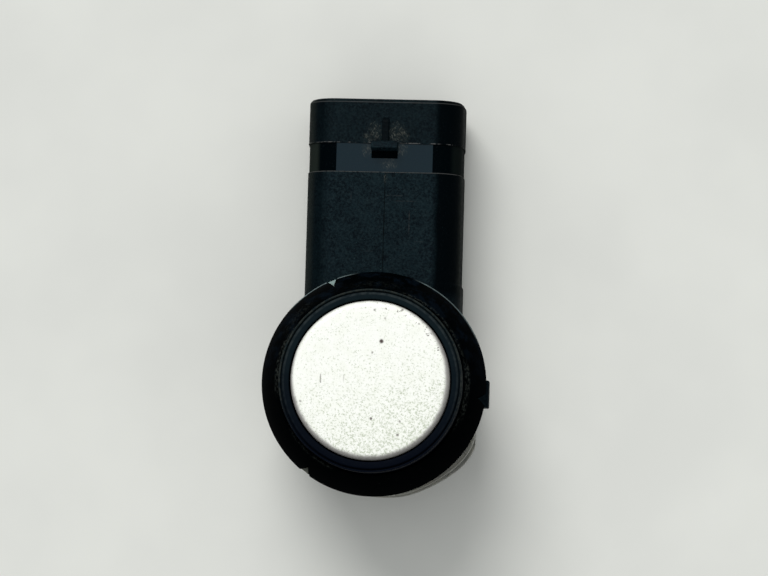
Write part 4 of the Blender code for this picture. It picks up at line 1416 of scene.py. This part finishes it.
def buildFloor():
    shape = bmesh.new()
    bmesh.ops.create_circle(shape, cap_ends=True, segments=96, radius=floorLook["radius"] * mm)
    mesh = bpy.data.meshes.new("floor")
    shape.to_mesh(mesh)
    shape.free()
    floor = addObject("floor", mesh)
    place = startMaterial("floor_card", {"Roughness": 0.9, "Specular IOR Level": 0.1})
    tone = varied(place, 0.05, 0.0, 1.0)
    feedShader({"Base Color": tint(tone, floorLook["light"], floorLook["dark"])})
    mesh.materials.append(current["material"])


lamps = [  # name, strength, width in degrees, azimuth and elevation of where it comes from
    ("key", 2.02, 36, 105, 47),
    ("fill", 0.05, 60, -60, 50),
]


def buildLamps():
    for name, strength, width, azimuth, elevation in lamps:
        data = bpy.data.lights.new(name, "SUN")
        data.energy = strength
        data.angle = math.radians(width)
        lamp = addObject(name, data)
        around, up = math.radians(azimuth), math.radians(elevation)
        flat = math.cos(up)
        source = Vector((math.cos(around) * flat, math.sin(around) * flat, math.sin(up)))
        lamp.rotation_mode = "QUATERNION"
        lamp.rotation_quaternion = source.to_track_quat("Z", "Y")
        lamp.location = source * 0.5


# A bright ceiling overhead that fades to a dimmer room at the sides
room = {
    "side": (0.32, 0.325, 0.33),
    "upper": (0.56, 0.57, 0.575),
    "ceiling": (0.95, 1.0, 1.04),
    "ceilingFrom": (0.90, 0.975),
}


def buildWorld():
    world = bpy.data.worlds.new("studio")
    bpy.context.scene.world = world
    world.use_nodes = True
    current["tree"] = world.node_tree
    sky = world.node_tree.nodes["Background"]
    up = partsOf(addNode("TexCoord").outputs["Generated"])[2]
    wall = tint(remap(up, 0.0, 0.9), room["side"], room["upper"])
    feed(sky.inputs["Color"], tint(remap(up, *room["ceilingFrom"]), wall, room["ceiling"]))


camera = {
    "distance": 400,
    "slide": (1.42, 9.19),
    "aim": (0, 0, 23.4),
    "turn": (-4.693, -3.601, -1.641),
    "lens": 188.0,
    "sensor": 36,
}


def buildCamera():
    data = bpy.data.cameras.new("camera")
    data.lens = camera["lens"]
    data.sensor_width = camera["sensor"]
    data.clip_start = 0.01
    data.clip_end = 20
    made = addObject("camera", data)
    turns = zip(camera["turn"], "XYZ")
    x, y, z = (Matrix.Rotation(math.radians(turn), 3, axis) for turn, axis in turns)
    axes = (z @ x @ y).transposed()
    offset = Vector((*camera["slide"], camera["distance"]))
    spot = (Vector(camera["aim"]) + axes @ offset) * mm
    made.matrix_world = Matrix.Translation(spot) @ axes.to_4x4()
    bpy.context.scene.camera = made


buildFloor()
buildLamps()
buildWorld()
buildCamera()
bpy.context.scene.view_settings.view_transform = "Standard"
print("floor, light and camera set")

bpy.context.view_layer.update()
